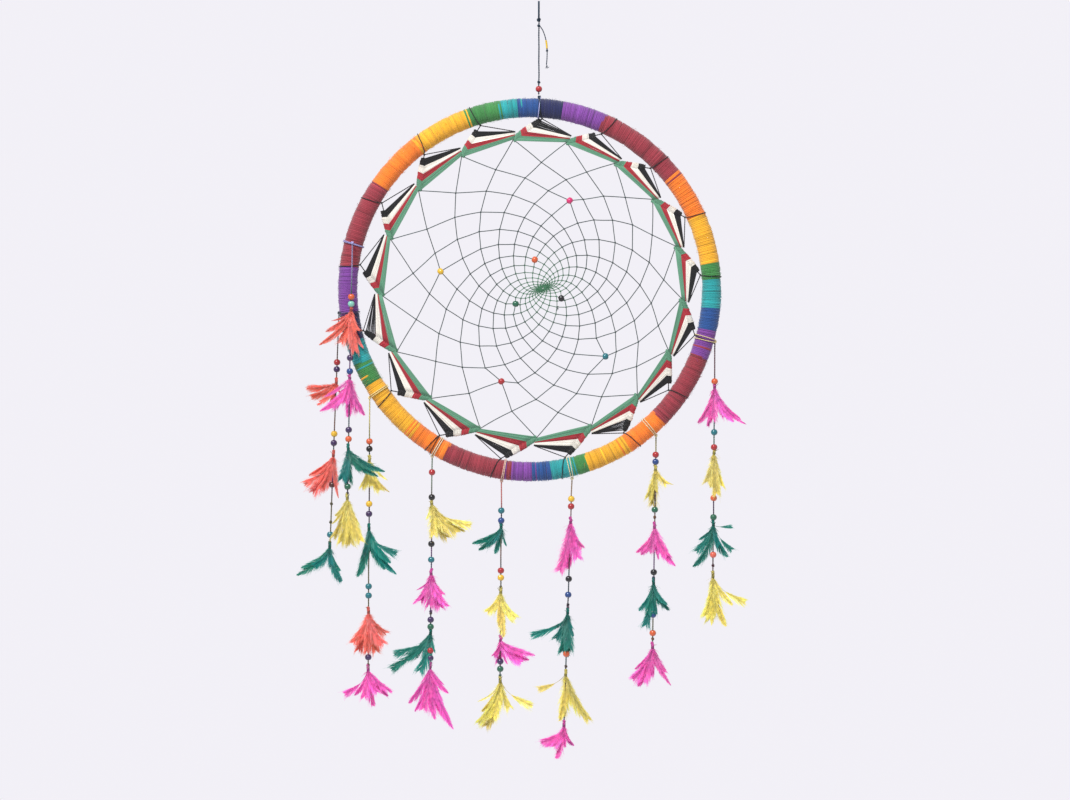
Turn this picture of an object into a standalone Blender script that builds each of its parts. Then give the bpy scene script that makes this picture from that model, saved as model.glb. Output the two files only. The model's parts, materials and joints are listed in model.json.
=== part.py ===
"""Dream catcher: a yarn-wrapped hoop with a wound border, a thread web and eight beaded, feathered strands.

Sizes and places below are measured from the hoop's centre; at the end everything is lowered so that the
origin is the inside top face of the hanging loop. The front faces -Y and +Z is up. Angles on the hoop run
clockwise from the top as seen from the front. Every piece is its own object, and every pivot is an empty on
its joint's axis.
"""

import math

import bmesh
import bpy
from mathutils import Matrix, Vector

MM = 0.001
GAP = 0.3 * MM

# A thick cord's section has eight sides and a thin one's six. Half a side of the first is this angle.
THICK_SIDES = 8
THIN_SIDES = 6
HALF_SIDE = math.pi / THICK_SIDES

# Hoop: a ring of bent cane inside a sleeve of wound yarn. The sleeve is open for a share of one step
# either side of the hanger's tie.
HOOP_OUTER_R = 230 * MM
WRAPPED_R = 11.7 * MM
WRAP_THICKNESS = 2.7 * MM
CORE_R = WRAPPED_R - (WRAP_THICKNESS + GAP) / math.cos(HALF_SIDE)
RING_R = HOOP_OUTER_R - WRAPPED_R
HOOP_STEPS = 36
WRAP_OPENING = 0.06

# Border: seventeen spines, each from a tie on the hoop to a corner of the web. They were spaced by eye, so
# they run ahead of even spacing on one side and lag on the other.
SPINES = 17
STEP = 2 * math.pi / SPINES
UNEVENNESS = math.radians(3.0)
MOST_AHEAD = math.radians(-27)
TIE_R = HOOP_OUTER_R - 2 * WRAPPED_R - 3 * MM
FIRST_TIE = math.radians(1.5)
CORNER_R = 188 * MM
FIRST_CORNER = math.radians(-9.9)
BORDER_CENTRE = Vector((3.0 * MM, 1.9 * MM))
YARN_THICKNESS = 1.6 * MM
STRIP = 0.9 * MM
PITCH = STRIP + GAP
# Where each yarn's wound block starts on a spine, from the corner outwards, as a share of the spine.
BLOCK_STARTS = {"black": 0.64, "white": 0.37, "red": 0.18, "green": 0.0}

# Web: rings of knots in from the border's corners, each half a step round from the last and turned on
# further. Inside the first ring the radius falls off faster and faster, and near the hub the rings are
# pinched along one line.
WEB_THREAD = 1.1 * MM
WEB_RINGS = 16
WEB_CLEARANCE = 1.6 * MM
FIRST_RING_R = 151 * MM
RING_DECAY = 0.118
DECAY_GROWTH = 0.00395
WEB_TURN = math.radians(0.7)
TURN_GROWTH = math.radians(0.09)
HUB_CENTRE = Vector((13.6 * MM, 2.3 * MM))
CENTRE_DRIFT = 0.55
PINCH = 0.22
CROWDING = 0.15
PINCH_LINE = math.radians(17)
# A loose bead takes a knot's place, or in the close part of the net stays this near to it.
CLOSE_RING = 8
CLOSE_SHARE = 0.35
BEAD_THREAD_MARGIN = 1.2 * MM

# Beads, knots and cords.
BEAD_R = 4.0 * MM
BEAD_HALF_LENGTH = 3.4 * MM
BEAD_BORE_R = 1.4 * MM
BEAD_SHOULDER_R = 3.0 * MM
BEAD_SHOULDER_HALF = 1.3 * MM
CORD_R = 0.9 * MM
KNOT_R = 1.8 * MM
KNOT_HALF_LENGTH = 1.6 * MM
CURVE_UNIT = 1.0 * MM
# On a strand a bead and the cord through it are one shape, this long and wide either side of its middle.
STRUNG_BEAD_HALF_LENGTH = 3.9 * MM
STRUNG_BEAD_HALF_FLAT = 2.0 * MM
STRUNG_BEAD_R = 3.84 * MM
# How far below its last binding a tail's cord ends, in millimetres.
FOOT_END = 6

# Hanger, above the hoop's top.
HANGER_X = 11 * MM
HANGER_ANGLE = math.asin(HANGER_X / RING_R)
LOOP_R = 11 * MM
LOOP_CORD_R = 1.2 * MM
LOOP_CENTRE_Z = 335 * MM
LOOP_POINTS = 12
LOOP_KNOT_R = 2.4 * MM
LOOP_TOP_INSIDE = (LOOP_R - LOOP_CORD_R * math.cos(HALF_SIDE)) * math.cos(math.pi / LOOP_POINTS)
SADDLE_Z = LOOP_CENTRE_Z + LOOP_TOP_INSIDE
SWING_Z = 321 * MM
HANGER_KNOT_Z = 317 * MM
HANGER_BEAD_Z = 240.8 * MM
KNOT_ABOVE_BEAD = 8 * MM
NOD_Z = 234.4 * MM
HANGER_CORD_R = 0.95 * MM
TIE_CORD_R = 1.0 * MM
TIE_POINTS = 12
TAIL_LENGTH = 47 * MM
TAIL_LEAN = 11 * MM
TAIL_STEPS = 6
TAIL_CORD_R = 0.76 * MM
TAIL_KNOT_R = 1.44 * MM

# Feather tufts: a binding with a bore for the cord, and four sprays of feather round it.
TUFT_COLUMNS = 8
COLLAR_R = 2.5 * MM
COLLAR_BORE_R = 1.5 * MM
SHOULDER_R = 5.8 * MM
SHOULDER_BORE_R = 4.9 * MM
SHOULDER_DROP = 0.25
SHOULDER_BORE_DROP = 0.29
NOTCH_R = 6.6 * MM
NOTCH_DROP = 0.56
SIDE_REACH = 7.0 * MM
SIDE_DROP = 0.8
LINK_GAP = 0.8 * MM

# Strands, in millimetres. Heights are drops below the hoop's centre, and a lean is how far the foot hangs
# to the side of the top. Beads and knots are (kind, drop, colour); tufts are (kind, drop, colour, length,
# reach to the left, reach to the right). A "link" is where the cord bends most, at a knot.
STRANDS = {
    1: {
        "top": (-229, 6, 27), "lean": -13,
        "pieces": [
            ("bead", 87, "red"), ("bead", 95.5, "purple"), ("tuft", 111, "coral", 30, 35, 9),
            ("bead", 173, "yellow"), ("bead", 184, "purple"), ("tuft", 198, "coral", 54, 34, 9),
            ("bead", 234, "brown"), ("knot", 257), ("knot", 279), ("bead", 294, "teal"),
            ("knot", 303), ("link", 307), ("tuft", 308, "teal", 44, 40, 14),
        ],
    },
    2: {
        "top": (-212, -18.5, -56), "lean": -7,
        "pieces": [
            ("bead", 9, "orange"), ("bead", 17.5, "teal"), ("tuft", 24, "coral", 50, 38, 15),
            ("bead", 82, "purple"), ("bead", 98, "blue"), ("tuft", 105, "pink", 49, 36, 18),
            ("bead", 168, "purple"), ("bead", 179, "orange"), ("tuft", 190, "teal", 40, 9, 44),
            ("bead", 236, "green"), ("knot", 244), ("link", 248), ("tuft", 249, "yellow", 56, 14, 12),
        ],
    },
    3: {
        "top": (-192, 0, 129), "lean": -2,
        "pieces": [
            ("bead", 182, "orange"), ("bead", 191, "black"), ("tuft", 204, "yellow", 41, 8, 24),
            ("bead", 257, "yellow"), ("bead", 269, "purple"), ("tuft", 286, "teal", 60, 14, 33),
            ("bead", 356, "teal"), ("bead", 367, "teal"), ("tuft", 386, "coral", 49, 19, 20),
            ("bead", 441, "purple"), ("knot", 450), ("link", 454), ("tuft", 455, "pink", 46, 27, 29),
        ],
    },
    4: {
        "top": (-117, 0, 199.5), "lean": -3,
        "pieces": [
            ("bead", 219, "red"), ("bead", 249, "black"), ("tuft", 256, "yellow", 42, 8, 46),
            ("bead", 305, "black"), ("bead", 324, "teal"), ("tuft", 340, "pink", 42, 22, 21),
            ("knot", 386), ("link", 389), ("bead", 396, "purple"), ("bead", 404.5, "green"),
            ("tuft", 411, "teal", 47, 46, 8), ("bead", 433, "red"), ("bead", 442, "purple"),
            ("tuft", 452, "pink", 78, 26, 28),
        ],
    },
    5: {
        "top": (-33.8, 0, 229), "lean": -2,
        "pieces": [
            ("bead", 265, "teal"), ("bead", 277, "blue"), ("tuft", 284, "teal", 34, 35, 8),
            ("bead", 337, "red"), ("bead", 345.5, "yellow"), ("knot", 357),
            ("tuft", 362, "yellow", 56, 15, 17), ("tuft", 420, "pink", 30, 8, 42),
            ("bead", 446, "purple"), ("bead", 455, "green"), ("knot", 463), ("link", 468),
            ("tuft", 469, "yellow", 56, 27, 38),
        ],
    },
    6: {
        "top": (50.8, 0, 226), "lean": -11,
        "pieces": [
            ("bead", 251, "yellow"), ("bead", 260, "red"), ("tuft", 278, "pink", 61, 13, 13),
            ("bead", 347, "black"), ("bead", 366, "blue"), ("knot", 378), ("link", 382),
            ("tuft", 387, "teal", 56, 43, 8), ("bead", 420, "purple"), ("bead", 437, "orange"),
            ("knot", 452), ("tuft", 461, "yellow", 58, 32, 28), ("tuft", 522, "pink", 42, 27, 12),
        ],
    },
    7: {
        "top": (151.6, 0, 174.5), "lean": -5,
        "pieces": [
            ("bead", 198, "red"), ("bead", 206.5, "blue"), ("tuft", 215, "yellow", 43, 8, 22),
            ("bead", 264, "green"), ("knot", 273), ("tuft", 284, "pink", 49, 22, 25),
            ("bead", 339, "black"), ("knot", 345.5), ("link", 348.5), ("tuft", 351, "teal", 53, 18, 19),
            ("bead", 390, "blue"), ("bead", 412, "orange"), ("knot", 419),
            ("tuft", 428, "pink", 50, 24, 22),
        ],
    },
    8: {
        "top": (222.4, 0, 62), "lean": -3,
        "pieces": [
            ("bead", 110, "orange"), ("tuft", 116, "pink", 49, 20, 38), ("bead", 171, "teal"),
            ("bead", 189, "red"), ("tuft", 195, "yellow", 50, 8, 8), ("bead", 250, "orange"),
            ("bead", 273, "green"), ("tuft", 281, "teal", 54, 25, 21), ("bead", 318, "coral"),
            ("knot", 331), ("link", 342), ("tuft", 343, "yellow", 63, 9, 38),
        ],
    },
}
# Strand 2 hangs in front of the hoop, so the backs of its feathers lie close to the cord.
FRONT_STRAND = 2
FRONT_BACK_REACH = 6.0 * MM

# Where the web's loose beads sit, in millimetres (right, up) of the hoop's centre, each in place of a knot.
WEB_BEADS = {
    "pink": (48, 107), "yellow": (-107, 22), "orange": (6, 34), "green": (-18, -15),
    "black": (42, -11), "teal": (91, -80), "red": (-34, -110),
}

COLOURS = {
    "black": (0.02, 0.02, 0.025), "white": (0.82, 0.79, 0.74), "red": (0.55, 0.05, 0.04),
    "green": (0.05, 0.22, 0.09), "teal": (0.0, 0.2, 0.2), "yellow": (0.85, 0.62, 0.03),
    "pink": (0.9, 0.06, 0.36), "coral": (0.9, 0.12, 0.1), "orange": (0.8, 0.22, 0.02),
    "purple": (0.12, 0.03, 0.16), "blue": (0.02, 0.06, 0.3), "brown": (0.2, 0.07, 0.02),
    "cord": (0.03, 0.1, 0.11), "cane": (0.45, 0.28, 0.13), "yarn": (0.5, 0.12, 0.06),
}


def clear_scene():
    for obj in list(bpy.data.objects):
        bpy.data.objects.remove(obj)


def material(name, colour, roughness):
    """A Principled BSDF of one colour, made once for each name."""
    if name in bpy.data.materials:
        return bpy.data.materials[name]
    made = bpy.data.materials.new(name)
    made.use_nodes = True
    shader = made.node_tree.nodes["Principled BSDF"]
    shader.inputs["Base Color"].default_value = (*COLOURS[colour], 1.0)
    shader.inputs["Roughness"].default_value = roughness
    shader.inputs["Metallic"].default_value = 0.0
    return made


def on_front(radius, angle, centre=Vector((0.0, 0.0))):
    """The (right, up) point at this radius and clockwise angle from a centre."""
    return centre + radius * Vector((math.sin(angle), math.cos(angle)))


def in_space(point, y=0.0):
    return Vector((point.x, y, point.y))


def add(name, data, parts):
    obj = bpy.data.objects.new(name, data)
    parts.objects.link(obj)
    return obj


def finish(obj, pivot, look):
    """Gives a piece its material, puts its origin on its pivot and parents it there."""
    obj.data.materials.clear()
    obj.data.materials.append(look)
    turn = obj.rotation_euler.to_matrix().to_4x4()
    offset = obj.location - pivot.matrix_world.translation
    if offset.length > 0 and obj.data.users == 1 and not obj.modifiers:
        obj.data.transform(turn.inverted() @ Matrix.Translation(offset) @ turn)
        obj.location = pivot.matrix_world.translation
    obj.parent = pivot
    obj.matrix_parent_inverse = pivot.matrix_world.inverted()
    if obj.type == "MESH":
        obj.data.shade_smooth()
        obj.data.set_sharp_from_angle(angle=math.radians(40))


def pivot(name, place, parent, parts):
    """An empty on a joint's axis, under the pivot that carries it."""
    empty = add(name, None, parts)
    empty.empty_display_size = 0.01
    empty.location = place
    if parent:
        empty.parent = parent
        empty.matrix_parent_inverse = parent.matrix_world.inverted()
    bpy.context.view_layer.update()
    return empty


def tube(name, points, radii, parts, closed=False, sides=THIN_SIDES, tilt=0.0, caps=True):
    """A cord along these points, as thick at each as its radius."""
    curve = bpy.data.curves.new(name, "CURVE")
    curve.dimensions = "3D"
    curve.bevel_depth = CURVE_UNIT
    curve.bevel_resolution = (sides - 4) // 2
    curve.use_fill_caps = caps and not closed
    spline = curve.splines.new("POLY")
    spline.points.add(len(points) - 1)
    spline.use_cyclic_u = closed
    for spot, place, radius in zip(spline.points, points, radii):
        spot.co = (*place, 1.0)
        spot.radius = radius / CURVE_UNIT
        spot.tilt = tilt
    return add(name, curve, parts)


def as_mesh(obj, parts):
    """The curve object as a mesh object whose caps are welded on."""
    bpy.context.view_layer.update()
    evaluated = obj.evaluated_get(bpy.context.evaluated_depsgraph_get())
    mesh = bpy.data.meshes.new_from_object(evaluated)
    work = bmesh.new()
    work.from_mesh(mesh)
    bmesh.ops.remove_doubles(work, verts=work.verts, dist=0.00001)
    work.to_mesh(mesh)
    work.free()
    name, place = obj.name, obj.matrix_world.copy()
    bpy.data.objects.remove(obj)
    made = add(name, mesh, parts)
    made.matrix_world = place
    return made


def joined(obj, other, parts):
    """obj with other joined to it by a Boolean union, and other removed."""
    union = obj.modifiers.new("join", "BOOLEAN")
    union.operation = "UNION"
    union.solver = "EXACT"
    union.object = other
    bpy.context.view_layer.update()
    evaluated = obj.evaluated_get(bpy.context.evaluated_depsgraph_get())
    mesh = bpy.data.meshes.new_from_object(evaluated)
    name, place = obj.name, obj.matrix_world.copy()
    bpy.data.objects.remove(obj)
    bpy.data.objects.remove(other)
    made = add(name, mesh, parts)
    made.matrix_world = place
    return made


# ---------------------------------------------------------------- hoop


def ring_point(angle):
    return in_space(on_front(RING_R, angle))


def make_hoop(hoop, parts):
    angles = [HANGER_ANGLE + 2 * math.pi * i / HOOP_STEPS for i in range(HOOP_STEPS)]
    points = [ring_point(a) for a in angles]
    core = tube("hoop_core", points, [CORE_R] * len(points), parts, closed=True, sides=THICK_SIDES)
    finish(core, hoop, material("cane", "cane", 0.6))

    first = points[0]
    points = [first.lerp(points[1], WRAP_OPENING), *points[1:], first.lerp(points[-1], WRAP_OPENING)]
    sleeve = tube("hoop_wrap", points, [WRAPPED_R] * len(points), parts, sides=THICK_SIDES, caps=False)
    sleeve = as_mesh(sleeve, parts)
    finish(sleeve, hoop, material("wrap_yarn", "yarn", 0.9))
    shell = sleeve.modifiers.new("thickness", "SOLIDIFY")
    shell.thickness = WRAP_THICKNESS
    shell.offset = -1.0
    shell.use_even_offset = True


# ---------------------------------------------------------------- border


def spaced(i):
    """The clockwise angle of spine i from the first one."""
    return i * STEP + UNEVENNESS * math.cos(i * STEP - MOST_AHEAD)


def spine(i):
    """A spine's corner, its direction outwards, the direction across it and its length."""
    tie = on_front(TIE_R, FIRST_TIE + spaced(i))
    corner = on_front(CORNER_R, FIRST_CORNER + spaced(i), BORDER_CENTRE)
    out = (tie - corner).normalized()
    return corner, out, Vector((out.y, -out.x)), (tie - corner).length


def zigzag(start, share, lift):
    """One edge of a yarn's band: up each spine to a share of its length, then across to the next corner.

    start is how far the edge lies inside the corners, and lift moves its peaks outwards.
    """
    outline = []
    for i in range(SPINES):
        corner, out, across, length = spine(i)
        foot = corner + start * (across - out)
        outline.append(foot)
        if share > 0:
            outline.append(foot + out * (share * length + lift))
    return outline


def make_border(hoop, parts):
    """Each yarn's band winds round the border without a break, the black one outermost."""
    shares = [1.0] + [BLOCK_STARTS[c] for c in BLOCK_STARTS]
    for number, colour in enumerate(BLOCK_STARTS):
        outer = zigzag(number * PITCH, shares[number], -GAP)
        inner = zigzag(number * PITCH + STRIP, shares[number + 1], GAP)
        curve = bpy.data.curves.new(f"border_{colour}_yarn", "CURVE")
        curve.dimensions = "2D"
        curve.fill_mode = "BOTH"
        curve.extrude = YARN_THICKNESS / 2
        for outline in (outer, inner):
            spline = curve.splines.new("POLY")
            spline.points.add(len(outline) - 1)
            spline.use_cyclic_u = True
            for spot, place in zip(spline.points, outline):
                spot.co = (place.x, place.y, 0.0, 1.0)
        band = add(curve.name, curve, parts)
        band.rotation_euler.x = math.pi / 2
        bpy.context.view_layer.update()
        band = as_mesh(band, parts)
        finish(band, hoop, material(f"{colour}_yarn", colour, 0.85))


# ---------------------------------------------------------------- web


def web_knot(ring, i):
    """The place of knot i of a ring of the web. Ring 0 is at the border's corners."""
    if ring == 0:
        reach = CORNER_R - len(BLOCK_STARTS) * PITCH * math.sqrt(2) - WEB_CLEARANCE
        return on_front(reach, FIRST_CORNER + spaced(i), BORDER_CENTRE)
    centre = BORDER_CENTRE.lerp(HUB_CENTRE, 1 - (1 - CENTRE_DRIFT) ** ring)
    radius = FIRST_RING_R * math.exp(-(ring - 1) * (RING_DECAY + DECAY_GROWTH * (ring - 1)))
    angle = FIRST_CORNER + (i + ring / 2) * STEP + ring * (WEB_TURN + ring * TURN_GROWTH)
    nearness = (ring / WEB_RINGS) ** 2
    off_line = 2 * (angle - PINCH_LINE)
    radius *= 1 - PINCH * nearness * (1 + math.cos(off_line)) / 2
    return on_front(radius, angle - CROWDING * nearness * math.sin(off_line), centre)


def beaded_knots():
    """For each loose bead, the ring and number of the knot that it takes the place of, and its centre."""
    found = {}
    places = [(ring, i) for ring in range(1, WEB_RINGS - 1) for i in range(SPINES)]
    for colour, spot in WEB_BEADS.items():
        wanted = Vector(spot) * MM
        ring, i = min(places, key=lambda place: (web_knot(*place) - wanted).length)
        share = CLOSE_SHARE if ring >= CLOSE_RING else 1.0
        found[colour] = (ring, i, in_space(web_knot(ring, i).lerp(wanted, share)))
    return found


def make_web(hoop, parts):
    """The net, with one straight thread through the place of each bead, and the beads on those threads."""
    work = bmesh.new()
    knots = [
        [work.verts.new(in_space(web_knot(ring, i))) for i in range(SPINES)] for ring in range(WEB_RINGS)
    ]
    for i in range(SPINES):
        for m in range(WEB_RINGS - 2):
            work.faces.new((knots[m][i], knots[m + 1][i], knots[m + 2][i - 1], knots[m + 1][i - 1]))
    strung = []
    for colour, (ring, i, place) in beaded_knots().items():
        outer, inner = knots[ring - 1][i], knots[ring + 1][i]
        along = (inner.co - outer.co).normalized()
        reach = along * (BEAD_HALF_LENGTH + BEAD_THREAD_MARGIN)
        strung.append((colour, place, along))
        bmesh.ops.dissolve_verts(work, verts=[knots[ring][i]])
        around = next(face for face in outer.link_faces if inner in face.verts[:])
        bmesh.utils.face_split(around, outer, inner, coords=[place - reach, place + reach])
    bmesh.ops.recalc_face_normals(work, faces=work.faces)
    mesh = bpy.data.meshes.new("web_net")
    work.to_mesh(mesh)
    work.free()
    web = add("web_net", mesh, parts)
    finish(web, hoop, material("web_thread", "green", 0.8))
    threads = web.modifiers.new("threads", "WIREFRAME")
    threads.thickness = WEB_THREAD
    threads.use_boundary = True
    threads.use_even_offset = False
    threads.use_relative_offset = False
    for colour, place, along in strung:
        holder = pivot(f"pivot_web_bead_{colour}", place, hoop, parts)
        make_bead(f"web_bead_{colour}", colour, place, along, holder, parts)


def bead_mesh():
    """A bead's outline, to be turned by a Screw: down its outside and up its bore."""
    outline = [
        (BEAD_BORE_R, BEAD_HALF_LENGTH), (BEAD_SHOULDER_R, BEAD_HALF_LENGTH), (BEAD_R, BEAD_SHOULDER_HALF),
        (BEAD_R, -BEAD_SHOULDER_HALF), (BEAD_SHOULDER_R, -BEAD_HALF_LENGTH), (BEAD_BORE_R, -BEAD_HALF_LENGTH),
    ]
    mesh = bpy.data.meshes.new("bead")
    edges = [(i, (i + 1) % len(outline)) for i in range(len(outline))]
    mesh.from_pydata([(r, 0.0, z) for r, z in outline], edges, [])
    return mesh


def make_bead(name, colour, place, along, holder, parts):
    bead = add(name, bead_mesh(), parts)
    bead.location = place
    bead.rotation_euler = Vector(along).to_track_quat("Z", "Y").to_euler()
    turned = bead.modifiers.new("turned", "SCREW")
    turned.steps = turned.render_steps = 8
    turned.use_merge_vertices = True
    turned.merge_threshold = 0.00001
    turned.use_smooth_shade = True
    finish(bead, holder, material(f"{colour}_bead", colour, 0.25))


# ---------------------------------------------------------------- hanger


def make_loop(root, parts):
    """The loop that goes over a nail or a rail, with its knot at the foot. Its top inside face is flat."""
    points, radii = [], []
    for i in range(LOOP_POINTS):
        angle = 2 * math.pi * (i + 0.5) / LOOP_POINTS
        points.append(
            Vector((HANGER_X, LOOP_R * math.sin(angle), LOOP_CENTRE_Z + LOOP_R * math.cos(angle)))
        )
        low = abs(i + 0.5 - LOOP_POINTS / 2) < 1
        radii.append(LOOP_KNOT_R if low else LOOP_CORD_R)
    loop = tube("hang_loop", points, radii, parts, closed=True, sides=THICK_SIDES, tilt=HALF_SIDE)
    finish(loop, root, material("hanger_cord", "cord", 0.8))


def make_hanger_cord(hanger, parts):
    """The cord from the loop to the hoop's tie, knotted above and below its bead, and its loose tail."""
    profile = [(SWING_Z - LINK_GAP, HANGER_CORD_R)]
    for z in (HANGER_KNOT_Z, HANGER_BEAD_Z + KNOT_ABOVE_BEAD):
        for share, radius in ((1, HANGER_CORD_R), (0.5, KNOT_R), (-0.5, KNOT_R), (-1, HANGER_CORD_R)):
            profile.append((z + share * KNOT_HALF_LENGTH, radius))
    profile.append((NOD_Z + LINK_GAP, HANGER_CORD_R))
    cord = tube("hanger_cord", [(HANGER_X, 0, z) for z, _ in profile], [r for _, r in profile], parts)
    cord = as_mesh(cord, parts)
    tail_points, tail_radii = [], []
    for i in range(TAIL_STEPS + 1):
        share = i / TAIL_STEPS
        lean = TAIL_LEAN * math.sin(share * math.pi / 2)
        tail_points.append((HANGER_X + lean, 0, HANGER_KNOT_Z - TAIL_LENGTH * share ** 1.5))
        tail_radii.append(TAIL_KNOT_R if i == TAIL_STEPS - 1 else TAIL_CORD_R)
    tail = as_mesh(tube("tail", tail_points, tail_radii, parts), parts)
    cord = joined(cord, tail, parts)
    finish(cord, hanger, material("hanger_cord", "cord", 0.8))


def make_hoop_tie(hoop, parts):
    """The cord tied round the wrapped hoop, with its knot at the top."""
    centre = ring_point(HANGER_ANGLE)
    outwards = in_space(on_front(1.0, HANGER_ANGLE))
    radius = WRAPPED_R + GAP + TIE_CORD_R
    points, radii = [], []
    for i in range(TIE_POINTS):
        angle = 2 * math.pi * i / TIE_POINTS
        points.append(centre + radius * (math.cos(angle) * outwards + math.sin(angle) * Vector((0, -1, 0))))
        radii.append(KNOT_R if i == 0 else TIE_CORD_R)
    tie = tube("hoop_tie", points, radii, parts, closed=True)
    finish(tie, hoop, material("hanger_cord", "cord", 0.8))


# ---------------------------------------------------------------- strands


def tuft(name, place, length, left, right, back, look, holder, parts):
    """A bound tuft of feathers round the cord: a ring reshaped into a collar that opens into four sprays."""
    sides = 5
    bpy.ops.mesh.primitive_torus_add(major_segments=TUFT_COLUMNS, minor_segments=sides, location=place)
    made = bpy.context.object
    for collection in list(made.users_collection):
        collection.objects.unlink(made)
    parts.objects.link(made)
    made.name = made.data.name = name
    # Columns 0, 2, 4 and 6 are the sprays to the right, back, left and front; the others are notches.
    tips = {0: (right, 1.0), 2: (back, SIDE_DROP), 4: (left, 1.0), 6: (SIDE_REACH, SIDE_DROP)}
    for column in range(TUFT_COLUMNS):
        angle = 2 * math.pi * column / TUFT_COLUMNS
        tip_r, tip_drop = tips.get(column, (NOTCH_R, NOTCH_DROP))
        outline = (
            (tip_r, tip_drop), (SHOULDER_R, SHOULDER_DROP), (COLLAR_R, 0.0),
            (COLLAR_BORE_R, 0.0), (SHOULDER_BORE_R, SHOULDER_BORE_DROP),
        )
        for side, (radius, drop) in enumerate(outline):
            vertex = made.data.vertices[column * sides + side]
            vertex.co = (radius * math.cos(angle), radius * math.sin(angle), -drop * length)
    finish(made, holder, look)
    return made


def bulge(kind, drop):
    """A bead's or a knot's drops in millimetres, and its radii, on its cord."""
    if kind == "bead":
        end, flat, radius = STRUNG_BEAD_HALF_LENGTH / MM, STRUNG_BEAD_HALF_FLAT / MM, STRUNG_BEAD_R
    else:
        end, flat, radius = KNOT_HALF_LENGTH / MM, KNOT_HALF_LENGTH / 2 / MM, KNOT_R
    return [(drop - end, CORD_R), (drop - flat, radius), (drop + flat, radius), (drop + end, CORD_R)]


def make_strand(number, plan, hoop, parts):
    x, y, top = plan["top"]
    pieces = plan["pieces"]
    last = pieces[-1]
    foot = last[1] + last[3]

    def place(drop):
        across = x + plan["lean"] * (drop - top) / (foot - top)
        return Vector((across, y, -drop)) * MM

    link = next(piece[1] for piece in pieces if piece[0] == "link")
    below = [piece for piece in pieces if piece[0] != "link" and piece[1] > link]
    holders = [pivot(f"pivot_strand_{number}", place(top), hoop, parts)]
    holders.append(pivot(f"pivot_strand_{number}_foot", place(link), holders[0], parts))

    look = material("strand_cord", "cord", 0.7)
    names = [f"strand_{number}_cord"]
    # A strand whose foot is more than its last tuft has a second length of cord there.
    if len(below) > 1:
        names.append(f"strand_{number}_tail")
    for part, name in enumerate(names):
        low, high = (top, link) if part == 0 else (link, last[1] + FOOT_END)
        start = low if part == 0 else low + LINK_GAP / MM
        profile = [(start, CORD_R)]
        for piece in pieces:
            if piece[0] in ("bead", "knot") and low < piece[1] < high:
                profile += bulge(piece[0], piece[1])
        profile.append((high - (LINK_GAP / MM if part == 0 else 0), CORD_R))
        cord = tube(name, [place(drop) for drop, _ in profile], [r for _, r in profile], parts)
        finish(cord, holders[part], look)

    tufts = [piece for piece in pieces if piece[0] == "tuft"]
    for order, (_, drop, colour, length, left, right) in enumerate(tufts, 1):
        back = FRONT_BACK_REACH if number == FRONT_STRAND else SIDE_REACH
        tuft(
            f"strand_{number}_tuft_{order}", place(drop), length * MM, left * MM, right * MM, back,
            material(f"{colour}_feather", colour, 0.7), holders[drop > link], parts,
        )


# ---------------------------------------------------------------- assembly


def main():
    clear_scene()
    parts = bpy.data.collections.new("dream_catcher")
    bpy.context.scene.collection.children.link(parts)
    root = pivot("pivot_loop", (HANGER_X, 0, LOOP_CENTRE_Z), None, parts)
    hanger = pivot("pivot_hanger", (HANGER_X, 0, SWING_Z), root, parts)
    swivel = pivot("pivot_swivel", (HANGER_X, 0, HANGER_BEAD_Z), hanger, parts)
    hoop = pivot("pivot_hoop", (HANGER_X, 0, NOD_Z), swivel, parts)
    make_loop(root, parts)
    make_hanger_cord(hanger, parts)
    make_bead("hanger_bead", "red", (HANGER_X, 0, HANGER_BEAD_Z), (0, 0, 1), swivel, parts)
    make_hoop_tie(hoop, parts)
    make_hoop(hoop, parts)
    make_border(hoop, parts)
    make_web(hoop, parts)
    for number, plan in STRANDS.items():
        make_strand(number, plan, hoop, parts)
    root.location -= Vector((HANGER_X, 0, SADDLE_Z))


main()
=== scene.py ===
"""Dream catcher: the visible yarn, thread, beads, cords and feathers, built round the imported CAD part.

Sizes are in metres. Places on the hoop are given as (right, up) from its centre, and angles run clockwise
from the top as seen from the front, which faces -Y. The hoop's centre comes from the frame.
"""

import json
import math
from collections import namedtuple
from itertools import product

import bpy
import numpy as np
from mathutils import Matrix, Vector

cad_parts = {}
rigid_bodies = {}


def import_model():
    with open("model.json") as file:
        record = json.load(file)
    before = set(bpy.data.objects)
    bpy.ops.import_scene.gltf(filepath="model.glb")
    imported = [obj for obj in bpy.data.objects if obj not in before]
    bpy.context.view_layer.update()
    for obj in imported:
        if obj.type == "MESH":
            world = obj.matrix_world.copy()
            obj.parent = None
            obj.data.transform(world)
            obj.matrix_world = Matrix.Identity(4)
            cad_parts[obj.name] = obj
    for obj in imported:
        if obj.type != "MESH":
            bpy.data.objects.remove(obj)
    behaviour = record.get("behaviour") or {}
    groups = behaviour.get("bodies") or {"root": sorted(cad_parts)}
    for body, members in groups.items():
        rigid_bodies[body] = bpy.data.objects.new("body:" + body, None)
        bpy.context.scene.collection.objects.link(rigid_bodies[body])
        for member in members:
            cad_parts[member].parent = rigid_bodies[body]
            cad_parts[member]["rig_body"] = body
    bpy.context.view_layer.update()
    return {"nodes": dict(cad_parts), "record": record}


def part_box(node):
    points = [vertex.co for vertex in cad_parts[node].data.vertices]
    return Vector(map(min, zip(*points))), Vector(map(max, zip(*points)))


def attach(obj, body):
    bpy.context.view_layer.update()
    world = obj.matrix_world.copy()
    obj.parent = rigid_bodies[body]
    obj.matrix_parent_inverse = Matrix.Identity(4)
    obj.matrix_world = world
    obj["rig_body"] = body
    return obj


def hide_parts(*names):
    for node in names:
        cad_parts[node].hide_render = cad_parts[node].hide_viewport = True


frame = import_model()

MM = 0.001
TAU = 2 * math.pi
SEED = 4711

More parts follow.
